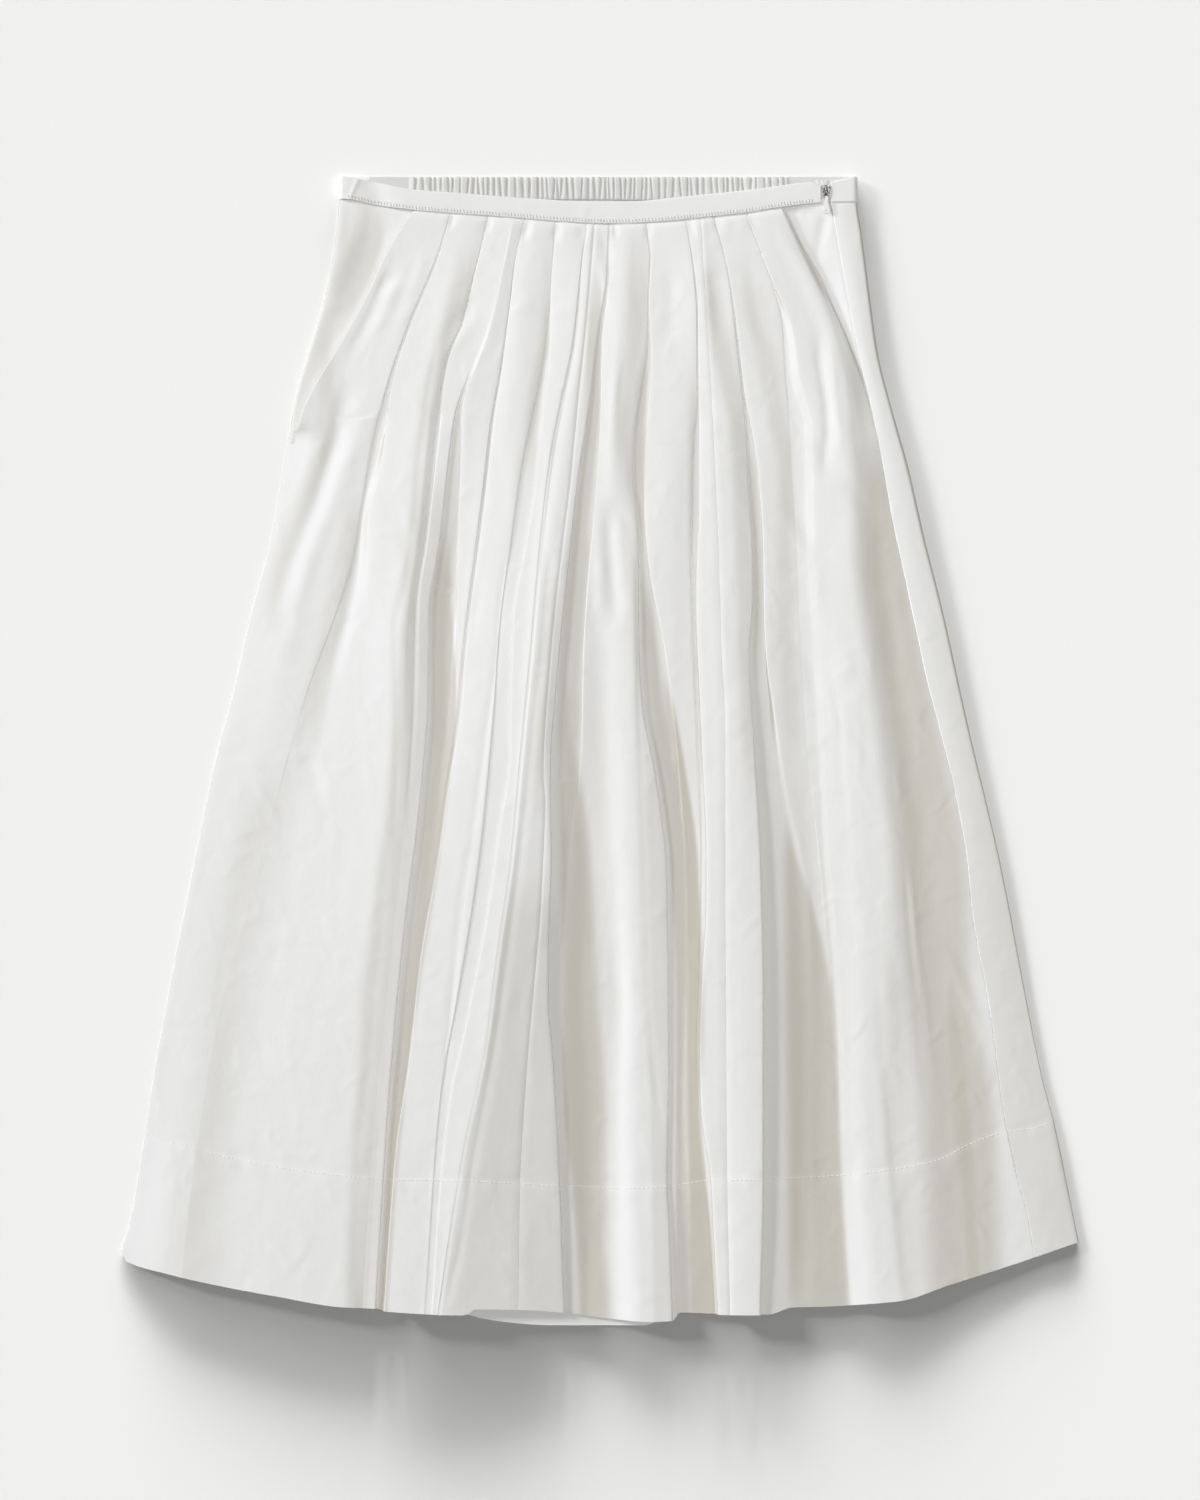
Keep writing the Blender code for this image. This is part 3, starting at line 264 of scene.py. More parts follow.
          edge_z=(6.2, 8.8, 9.6, 8.0, 5.4, 3.9, 4.4)),
    Crease("crest_10",
           ((219, 765), (284, 798), (344, 822), (431, 831), (553, 834), (650, 843), (750, 853), (860, 860),
            (1050, 860), (1150, 862), (1310, 874)), (6.2, 7.4, 9.8, 9.2, 7.0, 5.7, 6.6)),
    Crease("panel_10",
           ((219, 773), (284, 808), (344, 836), (400, 847), (431, 850), (548, 855), (666, 868), (771, 880),
            (856, 891), (950, 889), (1050, 880), (1150, 886), (1310, 901)),
           (6.0, 7.8, 10.4, 9.2, 6.8, 5.5, 6.4)),
    Crease("right_valley",
           ((219, 777), (284, 815), (344, 843), (400, 857), (431, 862), (550, 878), (650, 893), (750, 908),
            (835, 922), (1000, 940), (1100, 952), (1310, 966)), (5.8, 7.2, 6.8, 4.6, 3.0, 2.6, 3.6)),
)

# Creases laid on the front: depth in mm, above 0 for a ridge, half width in columns, then the track.
FRONT_CREASES = (
    (-0.35, 2.5,
     ((339, 438), (392, 428), (452, 420), (513, 415), (591, 404), (622, 395), (724, 397), (846, 394))),
    (0.35, 4.0,
     ((339, 446), (392, 436), (452, 428), (513, 423), (591, 412), (622, 405), (724, 407), (846, 403))),
    (-1.5, 9.0, ((380, 348), (420, 341), (465, 328), (500, 316), (560, 291), (620, 268))),
    (0.6, 8.0, ((400, 358), (420, 353), (465, 346), (500, 334), (560, 310), (620, 292))),
    (-0.7, 8.0, ((500, 366), (528, 362), (560, 359), (620, 346), (680, 330))),
    (-0.5, 22.0, ((600, 322), (700, 316), (800, 290))),
    (-0.4, 20.0, ((780, 285), (860, 262), (925, 240), (1000, 228), (1100, 222), (1260, 196))),
    (-0.35, 6.0,
     ((840, 389), (900, 382), (950, 379), (1000, 373), (1050, 370), (1100, 364), (1150, 358),
      (1300, 355))),
    (-1.2, 7.0, ((500, 609), (560, 612), (625, 616))),
    (0.5, 6.0, ((500, 597), (560, 599), (625, 602))),
    (-0.5, 6.0, ((980, 880), (1050, 884), (1100, 889), (1240, 903), (1300, 908))),
    (-0.9, 5.0, ((330, 819), (367, 820), (386, 824), (406, 827), (431, 828), (448, 826), (480, 822))),
    (0.5, 5.0, ((338, 832), (380, 833), (420, 837), (460, 842))),
    (-0.9, 6.0, ((255, 392), (275, 384), (300, 376), (330, 362), (355, 348))),
    (0.5, 6.0, ((265, 402), (300, 390), (340, 372))),
    (0.4, 6.0, ((250, 426), (300, 410), (350, 392))),
    (-0.5, 7.0, ((270, 671), (300, 671), (340, 668))),
    (-0.5, 7.0, ((270, 712), (300, 716), (340, 722))),
    (-0.5, 8.0, ((260, 748), (300, 755), (350, 766))),
    (-0.4, 3.0,
     ((544, 509), (601, 501), (662, 496), (713, 489), (764, 482), (826, 474), (900, 462), (1000, 452),
      (1095, 443))),
    (-0.5, 4.0,
     ((544, 552), (601, 546), (662, 541), (713, 535), (764, 530), (850, 521), (950, 508), (1050, 494),
      (1150, 476), (1250, 460), (1300, 448))),
    (-0.35, 3.0,
     ((548, 638), (683, 638), (744, 640), (860, 643), (925, 645), (1000, 648), (1060, 653), (1130, 662))),
    (-0.35, 2.2, ((687, 834), (729, 840), (761, 841), (814, 845), (856, 847))),
    (-0.35, 2.5, ((870, 905), (950, 912), (1000, 918), (1060, 925), (1130, 935))),
    (0.35, 3.0, ((866, 910), (950, 917), (1000, 923), (1060, 930), (1130, 940))),
)


# Short creases on the front: depth in mm, half width in columns, then the (row, column) of the two ends.
FRONT_WRINKLES = (
    (-0.8, 7.0, (290, 375), (272, 400)),
    (0.5, 6.0, (302, 372), (286, 404)),
    (-0.7, 7.0, (345, 440), (300, 475)),
    (0.5, 6.0, (356, 446), (312, 482)),
    (-0.5, 5.0, (366, 468), (360, 500)),
    (-0.5, 6.0, (520, 398), (552, 410)),
    (0.4, 5.0, (512, 404), (544, 418)),
    (-0.6, 7.0, (460, 330), (425, 356)),
    (0.5, 7.0, (474, 334), (440, 362)),
    (-0.5, 8.0, (640, 262), (610, 292)),
    (0.4, 8.0, (660, 266), (630, 298)),
    (-0.4, 6.0, (740, 300), (800, 322)),
    (-0.4, 6.0, (955, 250), (965, 284)),
    (0.4, 6.0, (968, 244), (980, 276)),
    (-0.4, 6.0, (1036, 256), (1056, 266)),
    (-0.6, 6.0, (500, 612), (536, 632)),
    (0.5, 6.0, (560, 598), (578, 606)),
    (-0.5, 6.0, (594, 600), (602, 628)),
    (-0.6, 6.0, (229, 600), (262, 609)),
    (0.5, 5.0, (262, 600), (299, 610)),
    (-0.5, 6.0, (590, 480), (640, 470)),
    (0.4, 6.0, (430, 540), (452, 556)),
    (-0.5, 6.0, (392, 700), (420, 716)),
    (-0.5, 7.0, (500, 790), (540, 812)),
    (0.5, 7.0, (520, 786), (562, 810)),
    (-0.6, 7.0, (440, 812), (476, 838)),
    (0.6, 7.0, (424, 836), (452, 862)),
    (-0.6, 7.0, (470, 842), (520, 872)),
    (-0.4, 6.0, (660, 806), (700, 850)),
    (0.5, 6.0, (676, 834), (664, 856)),
    (-0.5, 6.0, (736, 850), (756, 876)),
    (-0.4, 6.0, (700, 818), (640, 800)),
    (-0.4, 5.0, (930, 948), (1000, 978)),
    (-0.4, 5.0, (990, 956), (1060, 984)),
    (0.4, 5.0, (960, 950), (1030, 982)),
    (-0.4, 5.0, (1040, 968), (1100, 992)),
    (-0.4, 6.0, (1092, 628), (1092, 650)),
    (0.4, 6.0, (1200, 560), (1240, 590)),
    (-1.0, 3.0, (214, 455), (228, 448)),
    (-1.0, 3.0, (217, 491), (232, 486)),
    (-1.2, 3.5, (220, 530), (238, 523)),
    (-1.0, 3.0, (221, 559), (240, 555)),
    (-0.9, 3.0, (224, 586), (240, 581)),
    (-1.0, 3.0, (225, 613), (236, 618)),
    (-0.9, 3.0, (224, 650), (236, 648)),
    (-0.9, 3.0, (220, 689), (234, 692)),
    (-0.9, 3.0, (217, 715), (230, 720)),
    (-0.9, 3.0, (216, 749), (228, 756)),
)

# Painted shade: zones where the cloth's colour is darkened to stand for the shade in grooves, valleys and
# under folds: share, softness of the left and right sides in columns, then (row, left column, right column)
# down the skirt.
PAINTED_SHADE_ZONES = (
    (0.72, 18, 13,
     ((430, 866, 886), (560, 862, 908), (700, 882, 934), (860, 898, 966), (1000, 906, 974),
      (1100, 920, 994), (1310, 930, 1002))),
    (0.90, 14, 10,
     ((960, 930, 950), (1000, 938, 960), (1100, 945, 976), (1240, 958, 984), (1310, 960, 988))),
    (0.30, 5, 9,
     ((940, 884, 900), (1000, 884, 905), (1100, 884, 905), (1240, 896, 915), (1310, 902, 920))),
    (0.80, 9, 6,
     ((800, 784, 787), (850, 784, 796), (900, 784, 812), (1000, 784, 834), (1100, 786, 840),
      (1240, 788, 846), (1310, 790, 850))),
    (0.76, 5, 8,
     ((640, 566, 569), (720, 562, 573), (800, 561, 585), (860, 562, 592), (1000, 562, 600),
      (1100, 564, 606), (1240, 576, 606), (1310, 580, 610))),
    (0.38, 8, 8,
     ((870, 510, 560), (950, 500, 558), (1050, 490, 560), (1100, 484, 562), (1240, 462, 570),
      (1310, 452, 574))),
    (0.45, 3, 1.5,
     ((270, 590, 599), (300, 588, 601), (420, 585, 600), (500, 576, 590), (560, 567, 588), (620, 562, 585),
      (700, 557, 580), (800, 558, 580))),
    (0.50, 3, 1.5, ((340, 640, 648), (400, 636, 647), (450, 634, 646), (520, 634, 644), (560, 636, 645))),
    (0.35, 3, 1.5, ((360, 691, 697), (420, 688, 698), (500, 688, 698), (560, 688, 696))),
    (0.45, 3, 1.5, ((430, 744, 748), (480, 748, 756), (560, 752, 762), (640, 752, 763), (700, 751, 768))),
    (0.40, 3, 1.5, ((240, 474, 477), (280, 466, 472), (310, 461, 470), (335, 456, 462))),
    (0.62, 2, 3,
     ((560, 638, 646), (700, 649, 664), (860, 670, 690), (1000, 676, 699), (1100, 676, 698),
      (1240, 676, 704), (1310, 678, 708))),
    (0.95, 5, 3,
     ((660, 660, 664), (760, 674, 684), (860, 682, 698), (1000, 684, 703), (1100, 686, 700),
      (1240, 688, 712), (1310, 690, 716))),
    (0.32, 3, 2,
     ((540, 632, 638), (700, 636, 642), (860, 641, 666), (1000, 647, 668), (1100, 650, 668),
      (1310, 654, 672))),
    (0.68, 5, 2,
     ((520, 438, 450), (600, 432, 452), (703, 432, 456), (860, 420, 440), (1000, 403, 418),
      (1100, 392, 405), (1310, 377, 388))),
    (0.34, 7, 1.5,
     ((470, 416, 447), (703, 397, 428), (860, 379, 412), (1000, 361, 397), (1100, 356, 389),
      (1310, 345, 374))),
    (0.34, 9, 7,
     ((300, 326, 346), (360, 318, 332), (400, 322, 338), (440, 316, 332), (500, 296, 312), (560, 274, 288),
      (640, 262, 272))),
    (0.24, 5, 5, ((480, 350, 360), (530, 342, 358), (560, 334, 356), (640, 318, 338), (760, 292, 316))),
    (0.24, 26, 26,
     ((760, 262, 300), (860, 232, 270), (1000, 205, 245), (1100, 195, 240), (1310, 150, 215))),
    (0.30, 6, 4, ((240, 628, 646), (300, 630, 646), (360, 628, 640), (430, 620, 636), (500, 628, 634))),
    (0.32, 5, 4,
     ((250, 706, 716), (300, 708, 724), (340, 712, 730), (430, 730, 744), (560, 735, 750), (700, 740, 752),
      (800, 746, 756))),
    (0.28, 6, 5,
     ((250, 742, 754), (300, 745, 766), (400, 764, 782), (480, 778, 792), (560, 776, 790), (700, 780, 800),
      (780, 790, 806))),
    (0.22, 5, 4, ((240, 456, 466), (300, 448, 464), (400, 424, 440), (460, 420, 434))),
    (0.38, 4, 2, ((280, 545, 550), (340, 540, 548), (390, 530, 541), (480, 522, 534))),
    (0.30, 6, 4, ((560, 549, 564), (640, 541, 556), (720, 536, 552), (800, 530, 546))),
    (0.90, 1.5, 1.5,
     ((204, 778, 784), (258, 804, 809), (300, 825, 830), (350, 848, 853), (391, 864, 869),
      (419, 869, 873))),
    (0.50, 9, 5, ((196, 358, 392), (230, 350, 386), (270, 338, 374), (300, 332, 360), (340, 322, 340))),
    (0.45, 4, 4, ((330, 842, 850), (375, 848, 862), (410, 856, 868), (440, 864, 872))),
)


def hermite(places, values, at):
    """Reads a smooth curve through the values at the places, with no overshoot, at an array of places."""
    places = np.asarray(places, float)
    values = np.asarray(values, float)
    at = np.clip(np.asarray(at, float), places[0], places[-1])
    steps = np.diff(places)
    slopes = np.diff(values) / steps
    product = slopes[:-1] * slopes[1:]
    total = slopes[:-1] + slopes[1:]
    inner = np.where(product > 0, 2 * product / np.where(total == 0, 1, total), 0.0)
    tangents = np.concatenate([slopes[:1], inner, slopes[-1:]])
    index = np.clip(np.searchsorted(places, at, side="right") - 1, 0, len(steps) - 1)
    step = steps[index]
    t = (at - places[index]) / step
    return (values[index] * (1 + 2 * t) * (1 - t) ** 2 + tangents[index] * step * t * (1 - t) ** 2
            + values[index + 1] * t * t * (3 - 2 * t) + tangents[index + 1] * step * t * t * (t - 1))


def along(track, place):
    """The track's other coordinate at these places."""
    firsts, seconds = zip(*track)
    return hermite(firsts, seconds, place)


def level(values, fraction):
    """A length in metres, from millimetres given at each of LEVELS."""
    return hermite(LEVELS, values, fraction) * MM


def ease(value, low, high):
    """0 below low, 1 above high and a smooth step between."""
    t = np.clip((value - low) / (high - low), 0, 1)
    return t * t * (3 - 2 * t)


def across(column):
    return (column - MIDDLE_COLUMN) * PX


def up(row):
    return (MIDDLE_ROW - row) * PX


def column_of(x):
    return x / PX + MIDDLE_COLUMN


def row_of(y):
    return MIDDLE_ROW - y / PX


class Sheet(NamedTuple):
    """The two edges between which a part of the skirt is laid out in rows."""

    waist: tuple
    hem: tuple

    def row(self, fraction, column):
        top = along(self.waist, column)
        return top + (along(self.hem, column) - top) * fraction

    def column(self, track, fraction):
        """Where a track down the skirt crosses the rows at these fractions of the way to the hem."""
        column = along(track, FIRST_ROW + FRONT_ROWS * fraction)
        for _ in range(COLUMN_STEPS):
            column = along(track, self.row(fraction, column))
        return column


FRONT = Sheet(FRONT_WAIST, FRONT_HEM)
BACK = Sheet(BACK_WAIST, BACK_HEM)


class Noise:
    """Smooth seeded noise over the plane, between about -1 and 1."""

    def __init__(self, seed, size=64):
        self.size = size
        self.values = np.random.default_rng(seed).uniform(-1, 1, (size, size))

    def __call__(self, x, y):
        x, y = np.broadcast_arrays(np.asarray(x, float), np.asarray(y, float))
        column, row = np.floor(x).astype(int), np.floor(y).astype(int)
        tx, ty = x - column, y - row
        total = np.zeros(x.shape)
        for i in (-1, 0, 1, 2):
            weight_y = spline_weight(ty - i)
            for j in (-1, 0, 1, 2):
                value = self.values[(row + i) % self.size, (column + j) % self.size]
                total += value * weight_y * spline_weight(tx - j)
        return 1.5 * total


def spline_weight(distance):
    """Cubic B-spline weight of a lattice value this far away."""
    d = np.abs(distance)
    near = (4 - 6 * d ** 2 + 3 * d ** 3) / 6
    far = (2 - d) ** 3 / 6
    return np.where(d < 1, near, np.where(d < 2, far, 0.0))


class Corner(NamedTuple):
    """A corner of every section at once: arrays of x and z, and how far it is rounded before and after."""

    x: np.ndarray
    z: np.ndarray
    before: object = 0.0
    after: object = 0.0


ARC_SPACING = 0.0026
STRAIGHT_SPACING = 0.0042
FEWEST_STEPS, MOST_STEPS = 3, 12
MOST_CUT = 0.49  # the share of a side that one corner's rounding may take
SHARP = 1e-5  # a corner rounded by less than this stays a point


def rounded(corners, spacing=STRAIGHT_SPACING):
    """Arrays of x and z, (sections, points), of the rounded corners, and the index of each one's middle."""
    xs = np.stack([np.broadcast_to(c.x, corners[1].x.shape) for c in corners]).astype(float)
    zs = np.stack([np.broadcast_to(c.z, corners[1].x.shape) for c in corners]).astype(float)
    legs = np.maximum(np.hypot(np.diff(xs, axis=0), np.diff(zs, axis=0)), 1e-7)
    points_x, points_z, middles = [], [], []
    last = len(corners) - 1
    cut_after = np.zeros_like(xs)
    cut_before = np.zeros_like(xs)
    for k in range(1, last):
        cut_before[k] = np.minimum(corners[k].before, MOST_CUT * legs[k - 1])
        cut_after[k] = np.minimum(corners[k].after, MOST_CUT * legs[k])
    for k in range(last + 1):
        bent = (cut_before[k] + cut_after[k]).max()
        if k in (0, last) or bent < SHARP:
            middles.append(len(points_x))
            points_x.append(xs[k])
            points_z.append(zs[k])
        else:
            toward_x = (xs[k - 1] - xs[k]) / legs[k - 1]
            toward_z = (zs[k - 1] - zs[k]) / legs[k - 1]
            away_x = (xs[k + 1] - xs[k]) / legs[k]
            away_z = (zs[k + 1] - zs[k]) / legs[k]
            steps = int(np.clip(math.ceil(bent / ARC_SPACING), FEWEST_STEPS, MOST_STEPS))
            for t in np.linspace(0, 1, steps + 1):
                if t >= 0.5 and len(middles) == k:
                    middles.append(len(points_x))
                from_before = (1 - t) ** 2 * cut_before[k]
                from_after = t * t * cut_after[k]
                points_x.append(xs[k] + from_before * toward_x + from_after * away_x)
                points_z.append(zs[k] + from_before * toward_z + from_after * away_z)
        if k == last:
            break
        straight = legs[k] - cut_after[k] - cut_before[k + 1]
        steps = int(math.ceil(straight.max() / spacing))
        from_x = xs[k] + cut_after[k] * (xs[k + 1] - xs[k]) / legs[k]
        from_z = zs[k] + cut_after[k] * (zs[k + 1] - zs[k]) / legs[k]
        for i in range(1, steps):
            share = straight * i / steps / legs[k]
            points_x.append(from_x + (xs[k + 1] - xs[k]) * share)
            points_z.append(from_z + (zs[k + 1] - zs[k]) * share)
    return np.stack(points_x, axis=1), np.stack(points_z, axis=1), middles


SIDE_TURN = (2.0, 2.3, 2.4, 1.9, 1.3, 0.95, 0.85)  # mm at each of LEVELS
LEFT_TURN = 0.0005
HIP_TURN = 0.0012
OPENING = 0.035
WIDE = 1.0  # a reach that asks for as much rounding as the sides of the corner allow
CREASE_REACH = 0.0055
FOLD_REACH = 0.0006  # rounding of a pressed fold
LIP_REACH = 0.0007
SHUT = 0.22  # the share of a pleat's mouth that is open at the waistband
WALL_LEAN = 0.1 * MM
LEAST_LAP = 0.35  # least depth of a groove, as a share of the pleat's mouth
RAMP_SHARE = 0.33  # where a pleat that lies open keeps its corners, along the slope between its layers


def side_height(fraction):
    return CLOTH / 2 + 2 * level(SIDE_TURN, fraction)


def turn(x, low, radius, side, steps=8):
    """Corners round the skirt's edge, from the lower layer to the upper. side is -1 at the left edge."""
    centre = x - side * radius
    angles = np.linspace(-math.pi / 2, math.pi / 2, steps + 1)
    return [Corner(centre + side * radius * math.cos(a), low + radius * (1 + math.sin(a))) for a in angles]


def pleat_corners(pleat, fraction):
    """Down into the pleat's groove, under its edge, back to the edge and onto the panel that it carries."""
    shoulder = across(FRONT.column(pleat.shoulder, fraction))
    edge = across(FRONT.column(pleat.edge, fraction))
    floor = level(pleat.floor_z, fraction)
    edge_z = level(pleat.edge_z, fraction)
    shoulder_z = level(pleat.shoulder_z, fraction)
    lap = level(pleat.lap, fraction)
    shoulder = edge - (edge - shoulder) * (SHUT + (1 - SHUT) * ease(fraction, 0.03, 0.24))
    mouth = edge - shoulder
    foot = shoulder + np.minimum(0.25 * mouth, WALL_LEAN)
    inner = np.maximum(edge + lap, foot + LEAST_LAP * mouth)
    step = np.minimum(TURN, (edge_z - floor) / 2)
    opened = ease(-lap, -1.5 * MM, 3.0 * MM)
    soft = ease(fraction, 0.10, 0.60)
    levelled = WIDE * opened * ease(1.5 * MM - (shoulder_z - floor), 0, 1.0 * MM)
    lip = LIP_REACH + levelled
    roll = FOLD_REACH + FOLD_REACH * soft + levelled
    ramp = opened * RAMP_SHARE

    def ramped(x, z, share):
        ramp_x = inner + (edge - inner) * share
        ramp_z = floor + (edge_z - floor) * share
        return x + (ramp_x - x) * opened, z + (ramp_z - z) * opened

    inner_top = ramped(inner, floor + step, ramp)
    edge_low = ramped(edge, edge_z - step, 1 - ramp)
    wide = np.where(opened > 0.5, WIDE, FOLD_REACH)
    folded = [
        Corner(shoulder, shoulder_z, roll, lip),
        Corner(foot, floor, lip, 2 * lip),
        Corner(inner, floor, wide, wide),
        Corner(*inner_top, wide, wide),
        Corner(*edge_low, FOLD_REACH + WIDE * (opened > 0.5), WIDE),
        Corner(edge, edge_z, WIDE, roll),
    ]
    open_share = ease(fraction, pleat.opens - OPENING, pleat.opens + OPENING)
    corners = []
    for i, corner in enumerate(folded):
        share = i / (len(folded) - 1)
        smooth_x = shoulder + mouth * share
        smooth_z = shoulder_z + (edge_z - shoulder_z) * share
        x = smooth_x + (corner.x - smooth_x) * open_share
        z = smooth_z + (corner.z - smooth_z) * open_share
        corners.append(Corner(x, z, corner.before, corner.after))
    return corners


UNDER_BAND = (-0.0045, -0.0012, 0.0009, 0.0030)  # rows that lead the cloth under the waistband
SQUEEZE = (0.75, 0.62, 0.34, 0.10)  # how far each of those rows is pressed down
PRESSED_Z = 2.0 * MM
ROW_COUNT = 168
ROW_PLACES = ((0, 0.0065), (20, 0.080), (130, 0.85), (167, 1))  # row, fraction of the way to the hem
LEFT_POCKET_Z = (6.2, 6.6, 6.0, 6.0, 6.0, 6.0, 6.0)  # mm at each of LEVELS
RIGHT_POCKET_Z = (5.6, 5.4, 5.4, 5.4, 5.4, 5.4, 5.4)
FRONT_LIP = 0.0004  # how the front's last edge turns in
SIDE_TUCK, POCKET_TUCK = 0.0003, 0.0035


def front_rows():
    """Fractions of the way to the hem at which the rows stand: close at the waist, the hem and its seam."""
    places = np.interp(np.arange(ROW_COUNT), *zip(*ROW_PLACES))
    first = int(np.searchsorted(places, POCKET_END))
    places[first - 1] = POCKET_END
    places[first] = WRAP_START
    return np.concatenate([UNDER_BAND, places])


def press_under_band(points):
    """Presses the first rows down, so that the cloth turns in under the waistband's lower edge."""
    for row, share in enumerate(SQUEEZE):
        z = points[row, :, 2]
        points[row, :, 2] = np.where(z > PRESSED_Z, PRESSED_Z + (z - PRESSED_Z) * (1 - share), z)


def front_section(fraction, wraps):
    """Corners of the front from left to right, at rows that all wrap round the left edge or all don't."""
    if wraps:
        edge_column = FRONT.column(LEFT_OUTLINE, fraction)
        radius = np.full_like(fraction, LEFT_TURN)
        low = np.full_like(fraction, CLOTH / 2)
        start_column = FRONT.column(LEFT_UNDER_SEAM, fraction)
    else:
        edge_column = FRONT.column(LEFT_POCKET, fraction)
        radius = np.full_like(fraction, TURN / 2)
        low = level(LEFT_POCKET_Z, fraction) - TURN
        start_column = edge_column + HIDDEN_REACH_PX
    corners = [Corner(across(start_column), low)]
    corners += turn(across(edge_column), low, radius, -1)
    names = {}
    for fold in FRONT_FOLDS:
        names[fold.name] = len(corners)
        if isinstance(fold, Pleat):
            corners += pleat_corners(fold, fraction)
            continue
        reach = 0.0 if fold.name.endswith("seam") else CREASE_REACH
        x = across(FRONT.column(fold.track, fraction))
        corners.append(Corner(x, level(fold.z, fraction), reach, reach))
    seam = SIDE_SEAM if wraps else RIGHT_POCKET
    end_x = across(FRONT.column(seam, fraction)) - SEAM_GAP
    end_z = side_height(fraction) if wraps else level(RIGHT_POCKET_Z, fraction)
    tuck = SIDE_TUCK if wraps else POCKET_TUCK
    lip = FRONT_LIP
    corners.append(Corner(end_x - lip, end_z, WIDE, lip / 2))
    corners.append(Corner(end_x, end_z - lip / 2, lip / 2, lip / 2))
    corners.append(Corner(end_x - lip / 2, end_z - 1.6 * lip, lip / 2, lip / 2))
    corners.append(Corner(end_x - lip - tuck, end_z - 2.0 * lip))
    return corners, names


def front_grid():
    """The front as a grid of points (rows, columns, 3), with its rows' fractions of the way to the hem.

    Also the grid's columns at its two gore seams and at its flank.
    """
    fraction = front_rows()
    wraps = fraction > POCKET_END
    upper, names = front_section(fraction[~wraps], False)
    lower, _ = front_section(fraction[wraps], True)
    corners = []
    for upper_corner, lower_corner in zip(upper, lower):
        fields = []
        for above, below in zip(upper_corner, lower_corner):
            above = np.broadcast_to(above, int((~wraps).sum()))
            below = np.broadcast_to(below, int(wraps.sum()))
            fields.append(np.concatenate([above, below]).astype(float))
        corners.append(Corner(*fields))
    x, z, middles = rounded(corners)
    y = up(FRONT.row(fraction[:, None], column_of(x)))
    seams = [middles[names["left_gore_seam"]], middles[names["right_gore_seam"]]]
    flank = middles[names["left_flank"]]
    return np.stack([x, y, z], axis=-1), fraction, seams, flank


LONGEST_FADE = 40  # rows over which a crease fades out


def creased(columns, rows, table):
    """Height in mm that a table of creases adds at these places. Each fades out at its ends."""
    total = np.zeros(columns.shape)
    for depth, half_width, track in table:
        first, last = track[0][0], track[-1][0]
        fade = min(0.25 * (last - first), LONGEST_FADE)
        strength = ease(rows, first - fade / 3, first + fade)
        strength = strength * (1 - ease(rows, last - fade, last + fade / 3))
        total += depth * strength * np.exp(-((columns - along(track, rows)) / half_width) ** 2)
    return total


def wrinkled(columns, rows, table):
    """Height in mm of short creases that run any way: depth, half width, then two (row, column) ends."""
    total = np.zeros(columns.shape)
    for depth, half_width, (row, column), (end_row, end_column) in table:
        length = math.hypot(end_row - row, end_column - column)
        down, right = (end_row - row) / length, (end_column - column) / length
        along_it = (rows - row) * down + (columns - column) * right
        off_it = (columns - column) * down - (rows - row) * right
        ends = ease(along_it, -0.15 * length, 0.35 * length)
        ends = ends * (1 - ease(along_it, 0.65 * length, 1.15 * length))
        total += depth * ends * np.exp(-(off_it / half_width) ** 2)
    return total


def painted_shade_at(columns, rows):
    """From 0 to 1, how much painted shade the zones put on the cloth at these places."""
    total = np.zeros(columns.shape)
    for share, soft_left, soft_right, sides in PAINTED_SHADE_ZONES:
        places, lefts, rights = zip(*sides)
        left, right = hermite(places, lefts, rows), hermite(places, rights, rows)
        shade = ease(columns, left - soft_left, left + soft_left)
        shade = shade * (1 - ease(columns, right - soft_right, right + soft_right))
        ends = ease(rows, places[0] - 20, places[0] + 60)
        if places[-1] < LOW_ROW - 20:
            ends = ends * (1 - ease(rows, places[-1] - 70, places[-1] + 30))
        total = np.maximum(total, share * shade * ends)
    return total


RIDGE_MIDDLE, RIDGE_ROUNDING = 0.45, 0.10


def ridged(noise, x, y):
    """Noise folded at its zeros, so that it has crisp lines, which are rounded off a little."""
    value = noise(x, y)
    return RIDGE_MIDDLE - np.sqrt(value * value + RIDGE_ROUNDING * RIDGE_ROUNDING)


# Seeds of the noise on each piece.
FRONT_SEED, FRONT_HEM_SEED, GORE_SEAM_SEED = 11, 21, 31
BACK_SEED, BACK_HEM_SEED, LEFT_HIP_SEED, RIGHT_HIP_SEED = 51, 61, 71, 81
BAND_PUCKER_SEED, BAND_SEED, RUCHED_SEED, RIB_SEED = 91, 92, 95, 7

# Heights in mm of what makes the cloth uneven, from the longest forms to the finest, and a factor for all.
SWELLS, FOLD_LINES, CREASE_LINES, CRUMPLES, SLANT_CRUMPLES, GRAIN = 0.16, 0.20, 0.16, 0.09, 0.06, 0.025
UNEVENNESS = 1.35
WAIST_HALF, FAN_OUT = 0.29, 0.21  # half width at the waist, and how much wider the cloth's lines fan out


